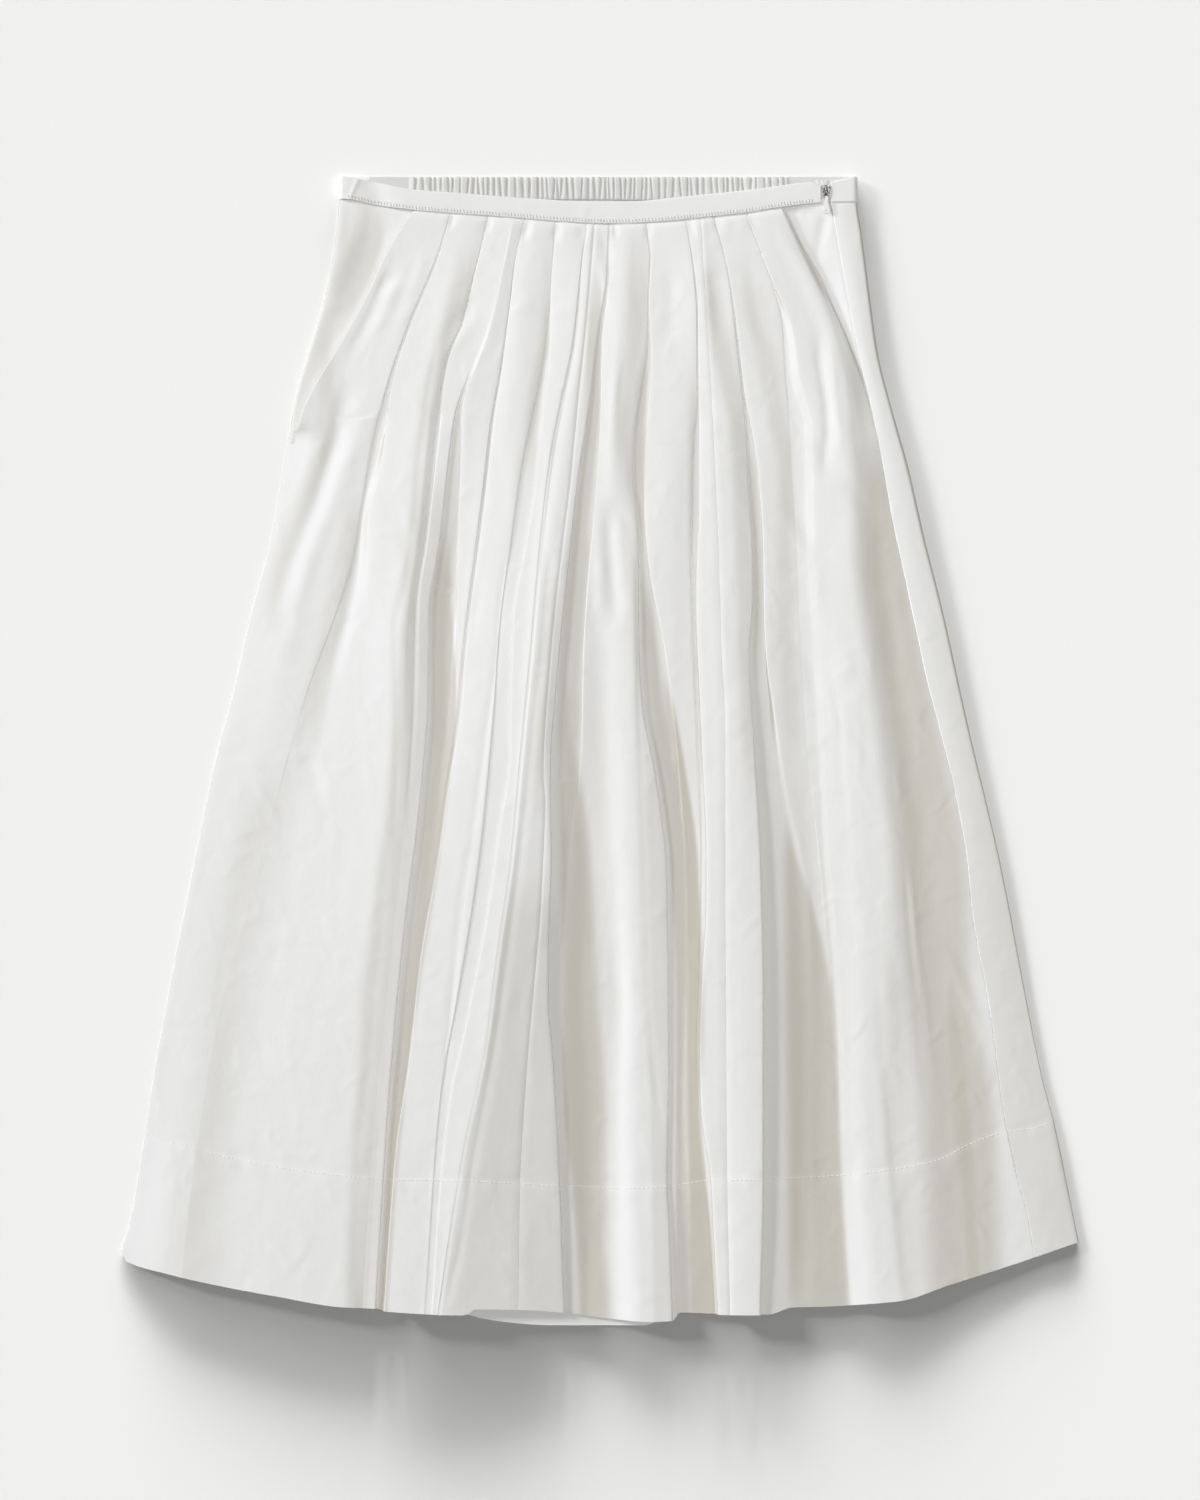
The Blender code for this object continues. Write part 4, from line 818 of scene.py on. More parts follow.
def linen(columns, rows, seed):
    """Height in mm of the cloth's own unevenness: long soft swells down the folds, creases and crumples."""
    fan = (columns - MIDDLE_COLUMN) * 0.5 / (WAIST_HALF + FAN_OUT * (rows - 200) / FRONT_ROWS) / 1.6
    n = [Noise(seed + i) for i in range(8)]
    bend = 0.9 * n[4](columns / 60, rows / 60)
    calm = 0.35 + 0.65 * ease(rows, 215, 420)
    patches = ease(n[5](columns / 70, rows / 110), -0.35, 0.45)
    return UNEVENNESS * (
        SWELLS * calm * n[0](fan / 34, rows / 170)
        + FOLD_LINES * calm * ridged(n[1], fan / 24 + bend, rows / 150)
        + CREASE_LINES * patches * ridged(n[2], fan / 13 + 0.5 * bend, rows / 46 + fan / 80)
        + CRUMPLES * ridged(n[3], columns / 11 + bend, rows / 17 - columns / 60)
        + SLANT_CRUMPLES * ridged(n[6], (columns + 0.8 * rows) / 16, (rows - 0.5 * columns) / 20 + bend)
        + GRAIN * n[7](columns / 4.6, rows / 6.5))


# Heights in mm at the hem seam: the turned-up layer, the stitches' furrow, its puckers and the drag lines.
HEM_STEP, HEM_FURROW, HEM_PUCKERS, HEM_DRAG = 0.35, -0.30, 0.34, 0.30


def hem_relief(columns, rows, seed):
    """Height in mm of the hem seam: the doubled cloth below it, its furrow and the puckers about it."""
    below = rows - along(HEM_SEAM, columns)
    pucker = Noise(seed)
    drag = Noise(seed + 1)
    step = HEM_STEP * ease(below, -2.5, 1.5)
    stitched = HEM_FURROW * np.exp(-((below + 1.0) / 2.2) ** 2)
    near = np.exp(-(np.maximum(below, -3 * below) / 11) ** 2)
    puckers = HEM_PUCKERS * pucker(columns / 5.5, rows / 60) * near
    dragged = HEM_DRAG * drag((columns + 0.35 * rows) / 15, rows / 40) * np.exp(-(below / 30) ** 2)
    return step + stitched + puckers + dragged


def quads_between(index):
    """Quads between the neighbours in a grid of vertex numbers."""
    sides = [index[:-1, :-1], index[1:, :-1], index[1:, 1:], index[:-1, 1:]]
    return np.stack(sides, axis=-1).reshape(-1, 4)


def grid_normals(points):
    down = np.gradient(points, axis=0)
    right = np.gradient(points, axis=1)
    normals = np.cross(down, right)
    return normals / np.maximum(np.linalg.norm(normals, axis=-1, keepdims=True), 1e-12)


def arc_lengths(points, axis):
    """Distance along the grid's lines in one direction, from their first points."""
    steps = np.linalg.norm(np.diff(points, axis=axis), axis=-1)
    lengths = np.zeros(points.shape[:2])
    if axis == 1:
        lengths[:, 1:] = np.cumsum(steps, axis=1)
    else:
        lengths[1:, :] = np.cumsum(steps, axis=0)
    return lengths


CLOTH_SHARP, METAL_SHARP = math.radians(50), math.radians(45)


def mesh_object(name, vertices, quads, uv=None, painted_shade=None):
    """A smooth-shaded mesh object from arrays, with a UV and painted shade for each vertex where they are
    given.
    """
    mesh = bpy.data.meshes.new(name)
    mesh.from_pydata(vertices.reshape(-1, 3).tolist(), [], quads.tolist())
    loops = np.empty(len(mesh.loops), np.int32)
    mesh.loops.foreach_get("vertex_index", loops)
    if uv is not None:
        layer = mesh.uv_layers.new(name="cloth")
        layer.data.foreach_set("uv", uv.reshape(-1, 2)[loops].astype(np.float32).ravel())
    # painted shade for each vertex, in the attribute named depth
    if painted_shade is not None:
        painted_shade_layer = mesh.attributes.new("depth", "FLOAT", "POINT")
        painted_shade_layer.data.foreach_set("value", painted_shade.ravel().astype(np.float32))
    mesh.polygons.foreach_set("use_smooth", np.ones(len(mesh.polygons), bool))
    mesh.set_sharp_from_angle(angle=CLOTH_SHARP)
    mesh.validate()
    mesh.update()
    piece = bpy.data.objects.new(name, mesh)
    bpy.context.scene.collection.objects.link(piece)
    return piece


def shell(name, points, thickness, material, painted_shade=None):
    """A closed thin wall of cloth about a grid of points (rows, columns, 3)."""
    rows, columns = points.shape[:2]
    half = grid_normals(points) * np.broadcast_to(thickness, points.shape[:2])[..., None] / 2
    count = rows * columns
    top = np.arange(count).reshape(rows, columns)
    bottom = top + count
    rims = []
    for a, b in ((top[0, :], bottom[0, :]), (bottom[-1, :], top[-1, :]),
                 (bottom[:, 0], top[:, 0]), (top[:, -1], bottom[:, -1])):
        rims.append(np.stack([a[:-1], a[1:], b[1:], b[:-1]], axis=-1))
    quads = np.concatenate([quads_between(top), quads_between(bottom)[:, ::-1], *rims])
    uv = np.stack([arc_lengths(points, 1), arc_lengths(points, 0)], axis=-1)
    vertices = np.stack([points + half, points - half])
    painted_shades = np.zeros(points.shape[:2]) if painted_shade is None else painted_shade
    piece = mesh_object(name, vertices, quads, np.stack([uv, uv]), np.stack([painted_shades, painted_shades]))
    piece.data.materials.append(material)
    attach(piece, "skirt")
    return piece


def node_material(name, base, roughness, sheen=0.0, specular=0.3):
    """A material with its shader, to which a pattern is linked."""
    material = bpy.data.materials.new(name)
    material.use_nodes = True
    shader = material.node_tree.nodes["Principled BSDF"]
    shader.inputs["Base Color"].default_value = (*base, 1)
    shader.inputs["Roughness"].default_value = roughness
    shader.inputs["Sheen Weight"].default_value = sheen
    shader.inputs["Sheen Roughness"].default_value = 0.6
    shader.inputs["Specular IOR Level"].default_value = specular
    return material, shader


def add_node(material, kind, **inputs):
    node = material.node_tree.nodes.new(kind)
    for key, value in inputs.items():
        node.inputs[key.replace("_", " ")].default_value = value
    return node


def link(material, out, into):
    material.node_tree.links.new(out, into)


COTTON_ROUGHNESS = 0.86
YARN, CRUMPLE, CRISP = 0.00004, 0.00022, 0.0006  # heights of the weave, the crumpling and the crisp lines
CLOUDY = 0.985  # how dark the cloth's faint clouds are


def cloth_material(name, base, painted_shade_colour, pitch=0.00034, weave=0.4, crumple=0.5):
    """White poplin: plain weave and faint crumpling. Its depth attribute holds painted shade, which takes the
    colour from base toward the shade colour.
    """
    material, shader = node_material(name, base, COTTON_ROUGHNESS, sheen=0.12, specular=0.18)
    place = add_node(material, "ShaderNodeTexCoord")
    heights = []
    for direction in ("X", "Y"):
        bands = add_node(material, "ShaderNodeTexWave", Scale=1 / (pitch * 20), Distortion=0.6,
                         Detail=2.0, Detail_Scale=1.3)
        bands.wave_type = "BANDS"
        bands.bands_direction = direction
        link(material, place.outputs["UV"], bands.inputs["Vector"])
        heights.append(bands)
    weft = add_node(material, "ShaderNodeMath")
    weft.operation = "MAXIMUM"
    link(material, heights[0].outputs["Fac"], weft.inputs[0])
    link(material, heights[1].outputs["Fac"], weft.inputs[1])
    woven = add_node(material, "ShaderNodeBump", Strength=weave, Distance=YARN)
    link(material, weft.outputs[0], woven.inputs["Height"])
    crumpled = add_node(material, "ShaderNodeTexNoise", Scale=210.0, Detail=4.0, Roughness=0.55)
    link(material, place.outputs["Object"], crumpled.inputs["Vector"])
    soft = add_node(material, "ShaderNodeBump", Strength=crumple, Distance=CRUMPLE)
    link(material, crumpled.outputs["Fac"], soft.inputs["Height"])
    link(material, woven.outputs["Normal"], soft.inputs["Normal"])
    broken = add_node(material, "ShaderNodeTexNoise", Scale=46.0, Detail=3.0, Roughness=0.5,
                      Distortion=0.7)
    broken.noise_type = "RIDGED_MULTIFRACTAL"
    link(material, place.outputs["Object"], broken.inputs["Vector"])
    crisp = add_node(material, "ShaderNodeBump", Strength=0.8, Distance=CRISP)
    link(material, broken.outputs["Fac"], crisp.inputs["Height"])
    link(material, soft.outputs["Normal"], crisp.inputs["Normal"])
    link(material, crisp.outputs["Normal"], shader.inputs["Normal"])
    # the depth attribute holds painted shade, which mixes the colour toward the shade colour
    depth = add_node(material, "ShaderNodeAttribute")
    depth.attribute_name = "depth"
    cloudy = add_node(material, "ShaderNodeTexNoise", Scale=26.0, Detail=3.0)
    link(material, place.outputs["Object"], cloudy.inputs["Vector"])
    faint = add_node(material, "ShaderNodeMix")
    faint.data_type = "RGBA"
    faint.inputs[6].default_value = (*base, 1)
    faint.inputs[7].default_value = (*(CLOUDY * c for c in base), 1)
    link(material, cloudy.outputs["Fac"], faint.inputs[0])
    shade_mix = add_node(material, "ShaderNodeMix")
    shade_mix.clamp_factor = False
    shade_mix.data_type = "RGBA"
    shade_mix.inputs[7].default_value = (*painted_shade_colour, 1)
    link(material, depth.outputs["Fac"], shade_mix.inputs[0])
    link(material, faint.outputs[2], shade_mix.inputs[6])
    link(material, shade_mix.outputs[2], shader.inputs["Base Color"])
    return material


# the second and third colours are painted shade: warm grey for shaded cloth, grey for the back waistband's
# inside
WHITE, PAINTED_SHADE_TAN, BAND_PAINTED_SHADE = (0.757, 0.757, 0.757), (0.50, 0.477, 0.418), (0.61, 0.61, 0.60)
POPLIN = cloth_material("poplin_front", WHITE, PAINTED_SHADE_TAN)
POPLIN_BACK = cloth_material("poplin_back", (0.745, 0.745, 0.745), PAINTED_SHADE_TAN)
# the inside of the back waistband, with painted shade on its face that looks up
BAND_INSIDE = cloth_material("poplin_waistband_inside", WHITE, BAND_PAINTED_SHADE, crumple=0.35)
BAND_CLOTH = cloth_material("poplin_waistband", WHITE, PAINTED_SHADE_TAN, crumple=0.35)
TAPE_CLOTH = cloth_material("zip_tape_weave", (0.70, 0.70, 0.69), (0.6, 0.6, 0.58), pitch=0.0007, weave=0.8)

GRAZE = 0.085  # slope of the line that falls from each ridge to its right: the edge of the painted shadow under it
REACH = 0.10
BIN = 0.0015
FARTHEST_X = 0.42
SHALLOW, DEEPEST = 0.6 * MM, 4.6 * MM  # how far below that line the painted shadow starts and is full


def ridge_shadow_paint(points):
    """Painted shadow from 0 to 1: how far each point lies under lines falling from the ridges to its left."""
    x, z = points[..., 0], points[..., 2]
    depth = np.zeros(z.shape)
    places = np.arange(-FARTHEST_X, FARTHEST_X, BIN)
    for row in range(len(z)):
        bins = np.clip(((x[row] + FARTHEST_X) / BIN).astype(int), 0, len(places) - 1)
        top = np.zeros(len(places))
        np.maximum.at(top, bins, z[row])
        line = np.zeros(len(places))
        for step in range(1, int(REACH / BIN)):
            line[step:] = np.maximum(line[step:], top[:-step] - GRAZE * BIN * step)
        depth[row] = ease(np.interp(x[row], places + BIN / 2, line) - z[row], SHALLOW, DEEPEST)
    return depth


# painted shade on rims that face the lamps at the left, and painted light on walls that face right
RIM_PAINTED_SHADE, WALL_PAINTED_LIGHT = 0.9, 0.6


def paint_light_and_shade(points, depth):
    """Painted shade in the cloth's colour, more on rims that face left toward the lamps, and painted light,
    below 0, on walls facing right, where the given shade is mostly taken off.
    """
    lean = grid_normals(points)[..., 0]
    away = ease(lean, 0.25, 0.6)
    rims = RIM_PAINTED_SHADE * ease(-lean, 0.22, 0.7)
    return np.maximum(depth * (1 - 0.9 * away), rims) - WALL_PAINTED_LIGHT * away


def hem_thickness(fraction):
    return SHELL + (HEM_SHELL - SHELL) * ease(fraction, 0.985, 1.0)[:, None]


def freed(points, first, last):
    """0 before the grid's column first, where the cloth is held flat, and 1 after its column last."""
    return ease(np.arange(points.shape[1])[None, :], first, last)


SEAM_FURROW, SEAM_PUCKERS = -0.35, 0.22  # mm
# share of painted shadow under the ridges in the cloth's colour
RIDGE_SHADOW_SHARE = 0.20
FLOOR_Z = 2.0 * MM  # hollows get shallower near this height


def build_front():
    """The three gores, cut from one grid that runs through all the pleats."""
    points, fraction, seams, flank = front_grid()
    columns, rows = column_of(points[..., 0]), row_of(points[..., 1])
    relief = creased(columns, rows, FRONT_CREASES) + linen(columns, rows, FRONT_SEED)
    relief = relief + hem_relief(columns, rows, FRONT_HEM_SEED) + wrinkled(columns, rows, FRONT_WRINKLES)
    for seam in seams:
        off_seam = np.abs(columns - columns[:, seam:seam + 1])
        relief += SEAM_FURROW * np.exp(-(off_seam / 1.6) ** 2)
        puckers = Noise(GORE_SEAM_SEED)(columns / 40, rows / 5.0)
        relief += SEAM_PUCKERS * puckers * np.exp(-(off_seam / 7) ** 2)
    lift = relief * MM * freed(points, flank - 8, flank + 3)
    room = np.clip((points[..., 2] - FLOOR_Z) / (1.5 * MM), 0.15, 1)
    points[..., 2] += np.where(lift < 0, lift * room, lift)
    press_under_band(points)
    # painted shade: the shadow under the ridges and the shade zones, and painted light on walls facing right
    depth = paint_light_and_shade(points, np.maximum(RIDGE_SHADOW_SHARE * ridge_shadow_paint(points), painted_shade_at(columns, rows)))
    thickness = hem_thickness(fraction)
    pieces = []
    bounds = (0, seams[0], seams[1], points.shape[1] - 1)
    names = ("left", "centre", "right")
    for name, first, last in zip(names, bounds, bounds[1:]):
        part = points[:, first:last + 1].copy()
        if first:
            part[:, 0, 0] += SEAM_GAP
        if last < bounds[-1]:
            part[:, -1, 0] -= SEAM_GAP
        piece = shell(f"cloth_front_{name}", part, thickness, POPLIN, depth[:, first:last + 1])
        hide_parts(f"front_gore_{name}")
        pieces.append(piece)
    return pieces


BACK_SPACING = 0.012
BACK_UNEVENNESS, BACK_HEM, BACK_PAINTED_SHADE = 0.7, 0.8, 0.3
SEAM_LIP = 0.0005  # how an edge turns in at a seam
ROUND_EDGE_STEPS = 10


def build_back():
    """The back, flat from the seam under the left edge, then round the right edge to the side seam."""
    fraction = front_rows()
    left = across(BACK.column(LEFT_UNDER_SEAM, fraction)) + UNDER_GAP
    right = across(BACK.column(RIGHT_OUTLINE, fraction))
    seam = across(BACK.column(SIDE_SEAM, fraction)) + SEAM_GAP
    radius = level(SIDE_TURN, fraction)
    low = np.full_like(fraction, CLOTH / 2)
    flat = [Corner(left + (right - radius - left) * share, low) for share in (0, 0.25, 0.5, 0.75, 0.9)]
    corners = flat + turn(right, low, radius, 1, ROUND_EDGE_STEPS)
    shoulder = right - radius
    height = side_height(fraction)
    for share in (0.2, 0.45, 0.7):
        swollen = height + 0.5 * MM * math.sin(math.pi * share)
        corners.append(Corner(shoulder + (seam - shoulder) * share, swollen, WIDE, WIDE))
    lip = SEAM_LIP
    corners.append(Corner(seam + lip, height, lip, lip / 2))
    corners.append(Corner(seam, height - lip / 2, lip / 2, lip / 2))
    corners.append(Corner(seam + lip / 2, height - 1.6 * lip))
    x, z, middles = rounded(corners, BACK_SPACING)
    y = up(BACK.row(fraction[:, None], column_of(x)))
    points = np.stack([x, y, z], axis=-1)
    columns, rows = column_of(x), row_of(y)
    turned = middles[len(flat) + ROUND_EDGE_STEPS]
    free = freed(points, turned - 4, turned + 1)
    relief = BACK_UNEVENNESS * linen(columns, rows, BACK_SEED)
    relief = relief + BACK_HEM * hem_relief(columns, rows, BACK_HEM_SEED)
    points[..., 2] += relief * MM * free
    # painted shade on the strip between the right edge and the side seam, growing towards the hem
    painted_shade = paint_light_and_shade(points, BACK_PAINTED_SHADE * ease(rows, 380, 1000) * free)
    piece = shell("cloth_back", points, hem_thickness(fraction), POPLIN_BACK, painted_shade)
    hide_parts("back_panel")
    return piece


# Creases on the hip pieces, written as on the front.
LEFT_HIP_CREASES = (
    (-0.9, 15.0, ((180, 374), (226, 371), (288, 350), (350, 326), (402, 310), (470, 296))),
    (-0.5, 2.2, ((200, 352), (220, 349), (245, 345))),
    (0.4, 2.5, ((203, 367), (225, 362), (245, 358))),
    (-0.4, 3.0, ((205, 378), (225, 381), (245, 383))),
)
RIGHT_HIP_CREASES = (
    (-0.9, 5.0, ((205, 829), (220, 825), (262, 816))),
    (0.9, 9.0, ((315, 826), (350, 829), (426, 836))),
    (-0.6, 4.0, ((330, 818), (367, 819), (406, 828), (431, 831))),
    (-0.6, 8.0, ((365, 853), (390, 856), (420, 860))),
)
RIGHT_HIP_WRINKLES = (
    (-1.4, 3.5, (213, 778), (213, 803)),
    (0.9, 2.5, (204, 809), (217, 797)),
    (-0.8, 2.0, (206, 812), (219, 802)),
    (-0.5, 3.0, (228, 850), (250, 862)),
)

HIP_Z = 0.0026
HIP_ROWS = np.concatenate([[-0.004, -0.001], np.linspace(0.001, 0.222, 62)])
HIP_UNEVENNESS = 0.6
HIP_GAP = 0.15 * MM
SLOT_COLUMN, SLOT_ROWS, SLOT_WIDTH = 829, (204, 219), 2.0 * MM  # the right hip piece's room for the zip


def hip_piece(side, corners, seed, creases, wrinkles=(), held=None):
    """A hip piece laid through these corners, free of relief in the grid's columns before held."""
    x, z, _ = rounded(corners)
    y = up(FRONT.row(HIP_ROWS[:, None], column_of(x)))
    columns, rows = column_of(x), row_of(y)
    relief = creased(columns, rows, creases) + HIP_UNEVENNESS * linen(columns, rows, seed)
    relief += wrinkled(columns, rows, wrinkles)
    points = np.stack([x, y, z], axis=-1)
    points[..., 2] += relief * MM * (freed(points, *held) if held else 1)
    # painted shade from the shade zones, with painted light and shade on rims and walls
    piece = shell(f"cloth_hip_{side}", points, SHELL, POPLIN, paint_light_and_shade(points, painted_shade_at(columns, rows)))
    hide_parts(f"hip_{side}")
    return piece


def build_hips():
    """The pieces inside the pocket mouths. The left one comes round the left edge from its seam beneath."""
    low = np.full_like(HIP_ROWS, CLOTH / 2)
    inset = 0.0012 * ease(HIP_ROWS, 0.205, 0.211)
    outline = across(FRONT.column(LEFT_OUTLINE, HIP_ROWS)) + inset
    turned_z = low + 2 * HIP_TURN
    corners = [Corner(across(FRONT.column(LEFT_UNDER_SEAM, HIP_ROWS)), low)]
    corners += turn(outline, low, HIP_TURN, -1)
    start = corners[-1].x
    end = across(FRONT.column(LEFT_POCKET, HIP_ROWS) + HIDDEN_REACH_PX)
    for share in (0.3, 0.65, 1):
        corners.append(Corner(start + (end - start) * share, turned_z + (HIP_Z - turned_z) * share))
    left = hip_piece("left", corners, LEFT_HIP_SEED, LEFT_HIP_CREASES, held=(6, 13))

    height = side_height(HIP_ROWS)
    start = across(FRONT.column(RIGHT_POCKET, HIP_ROWS) - HIDDEN_REACH_PX)
    slot = SLOT_WIDTH * (1 - ease(FRONT.row(HIP_ROWS, SLOT_COLUMN), *SLOT_ROWS))
    end = across(FRONT.column(SIDE_SEAM, HIP_ROWS)) - HIP_GAP - slot
    corners = []
    for share in np.linspace(0, 0.97, 10):
        corners.append(Corner(start + (end - start) * share, HIP_Z + (height - HIP_Z) * share ** 2))
    corners.append(Corner(end - SEAM_LIP / 2, height - SEAM_LIP / 3))
    corners.append(Corner(end, height - 1.4 * SEAM_LIP))
    right = hip_piece("right", corners, RIGHT_HIP_SEED, RIGHT_HIP_CREASES, RIGHT_HIP_WRINKLES)
    return left, right


BAND_LOW = BAND / 2
BAND_HIGH = 0.0054
BAND_TURN = (BAND_HIGH - BAND_LOW) / 2
BAND_WALL = BAND - 0.0003
BAND_CROWN = 0.10 * MM
BAND_EDGE, THIN_EDGE = 0.055, 0.12  # share of the height where its edge is rounded, and the edge's thickness
BAND_SHARES = np.concatenate([[0.0, 0.012, 0.04], np.linspace(0.08, 0.92, 15), [0.96, 0.988, 1.0]])


def build_band(name, path, top, low, relief, material, node, paint_shade=False):
    """A waistband swept along path, arrays (x, z) of its middle, between arrays of y for its two edges.

    relief(columns, rows, shares) gives the height in mm that its outer face adds, where shares go from its
    lower edge to its top. Its last argument, when true, puts painted shade on the face that looks up.
    """
    x, z = path
    steps_x = np.gradient(x)
    steps_z = np.gradient(z)
    size = np.maximum(np.hypot(steps_x, steps_z), 1e-9)
    normal_x, normal_z = -steps_z / size, steps_x / size
    edge = np.minimum(BAND_SHARES, 1 - BAND_SHARES)
    rounding = np.sqrt(np.clip(1 - (1 - edge / BAND_EDGE) ** 2 * (edge < BAND_EDGE), 0, 1))
    outer_h = BAND_WALL / 2 * np.maximum(rounding, THIN_EDGE) + BAND_CROWN * np.sin(np.pi * BAND_SHARES)
    inner_h = -BAND_WALL / 2 * np.maximum(rounding, THIN_EDGE)
    y = low[:, None] + (top - low)[:, None] * BAND_SHARES[None, :]
    middle_x = np.broadcast_to(x[:, None], y.shape)
    on_top = np.clip(normal_z, 0, 1)[:, None]
    outer = outer_h[None, :] + on_top * relief(column_of(middle_x), row_of(y), BAND_SHARES[None, :]) * MM
    inner = np.broadcast_to(inner_h[None, :], y.shape)
    ring_y = np.concatenate([y, y[:, ::-1]], axis=1)
    ring_h = np.concatenate([outer, inner[:, ::-1]], axis=1)
    ring_x = x[:, None] + normal_x[:, None] * ring_h
    ring_z = z[:, None] + normal_z[:, None] * ring_h
    points = np.stack([ring_x, ring_y, ring_z], axis=-1)
    rows, ring = points.shape[:2]
    index = np.arange(rows * ring).reshape(rows, ring)
    wrapped = np.concatenate([index, index[:, :1]], axis=1)
    caps = []
    for i in range(len(BAND_SHARES) - 1):
        j = ring - 1 - i
        caps.append((index[0, i], index[0, i + 1], index[0, j - 1], index[0, j]))
        caps.append((index[-1, i + 1], index[-1, i], index[-1, j], index[-1, j - 1]))
    quads = np.concatenate([quads_between(wrapped), np.array(caps)])
    uv = np.stack([np.broadcast_to(np.cumsum(size)[:, None], ring_y.shape), ring_y], axis=-1)
    # painted shade on the face that looks up, when asked for
    piece = mesh_object(name, points, quads, uv, np.broadcast_to(on_top * paint_shade, ring_y.shape))
    piece.data.materials.append(material)
    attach(piece, "skirt")
    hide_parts(node)
    return piece


def band_turn(edge, side):
    """Places (x, z) where a waistband turns over at the skirt's edge. side is -1 at the left edge."""
    centre = edge - side * BAND_TURN
    angles = np.linspace(-math.pi / 2, math.pi / 2, 13)
    return [(centre + side * BAND_TURN * math.cos(a), BAND_LOW + BAND_TURN * (1 + math.sin(a)))
            for a in angles]


def front_band_relief(columns, rows, shares):
    """Puckers along the stitching, the pinch near the left end and soft unevenness."""
    pucker, soft = Noise(BAND_PUCKER_SEED), Noise(BAND_SEED)
    seam = np.exp(-((shares - 0.14) / 0.10) ** 2)
    crease = np.exp(-((columns - (358 - (rows - 178) * 0.42)) / 2.0) ** 2)
    pinch = np.exp(-((columns - 381) / 8) ** 2) * np.exp(-((shares - 0.1) / 0.3) ** 2)
    stitched = -0.16 * np.exp(-((shares - 0.235) / 0.035) ** 2)
    puckers = 0.10 * pucker(columns / 3.1, rows / 9) * seam
    return puckers + 0.14 * soft(columns / 26, rows / 18) + 0.5 * crease - 0.5 * pinch + stitched


# The furrows that the elastic draws into the back waistband.
RIB_RNG = np.random.default_rng(RIB_SEED)
RIB_COLUMNS = np.cumsum(RIB_RNG.uniform(3.6, 8.6, 90)) + RUCHED_PX[0] - 2
RIB_COLUMNS = RIB_COLUMNS[RIB_COLUMNS < RUCHED_PX[1] + 1]
RIB_TILTS = RIB_RNG.uniform(-0.10, 0.10, len(RIB_COLUMNS))
RIB_WIDTHS = RIB_RNG.uniform(0.7, 1.5, len(RIB_COLUMNS))
RIB_DEPTHS = RIB_RNG.uniform(0.55, 1.0, len(RIB_COLUMNS))
BAND_ROW = 188


def rib_heights(columns, rows):
    """0 in the furrows that the elastic draws into the back waistband, and about 1 between them."""
    height = np.ones(columns.shape)
    for column, tilt, width, depth in zip(RIB_COLUMNS, RIB_TILTS, RIB_WIDTHS, RIB_DEPTHS):
        furrow = column + tilt * (rows - BAND_ROW) * (rows > 0)
        height = height - depth * np.exp(-((columns - furrow) / width) ** 2)
    return np.clip(height, 0, 1)


def back_band_relief(columns, rows, shares):
    """The ribs between the furrows, fullest in the middle of the band, and soft unevenness."""
    first, last = RUCHED_PX
    inside = ease(columns, first - 3, first + 2) * (1 - ease(columns, last - 2, last + 3))
    full = 0.45 + 0.55 * ease(np.minimum(shares, 1 - shares), 0.0, 0.18)
    ribs = 1.25 * full * rib_heights(columns, rows) - 0.1
    return inside * ribs + 0.08 * Noise(RUCHED_SEED)(columns / 9, rows / 9)


FRONT_BAND_STEPS, RUCHED_STEPS = 330, 560
UNDER_BAND_PX = -0.1
PINCH_COLUMN, PINCH_HALF, PINCH_DEPTH = 374, 15, 0.0016
BAND_LEFT_ROW, BAND_RIGHT_ROW = 187, 190
SQUARE_CORNER_PX = 3.0  # how far the front band's top dips at its right end
SCALLOP_PX = 0.9  # how far the band's top edge sinks at each furrow


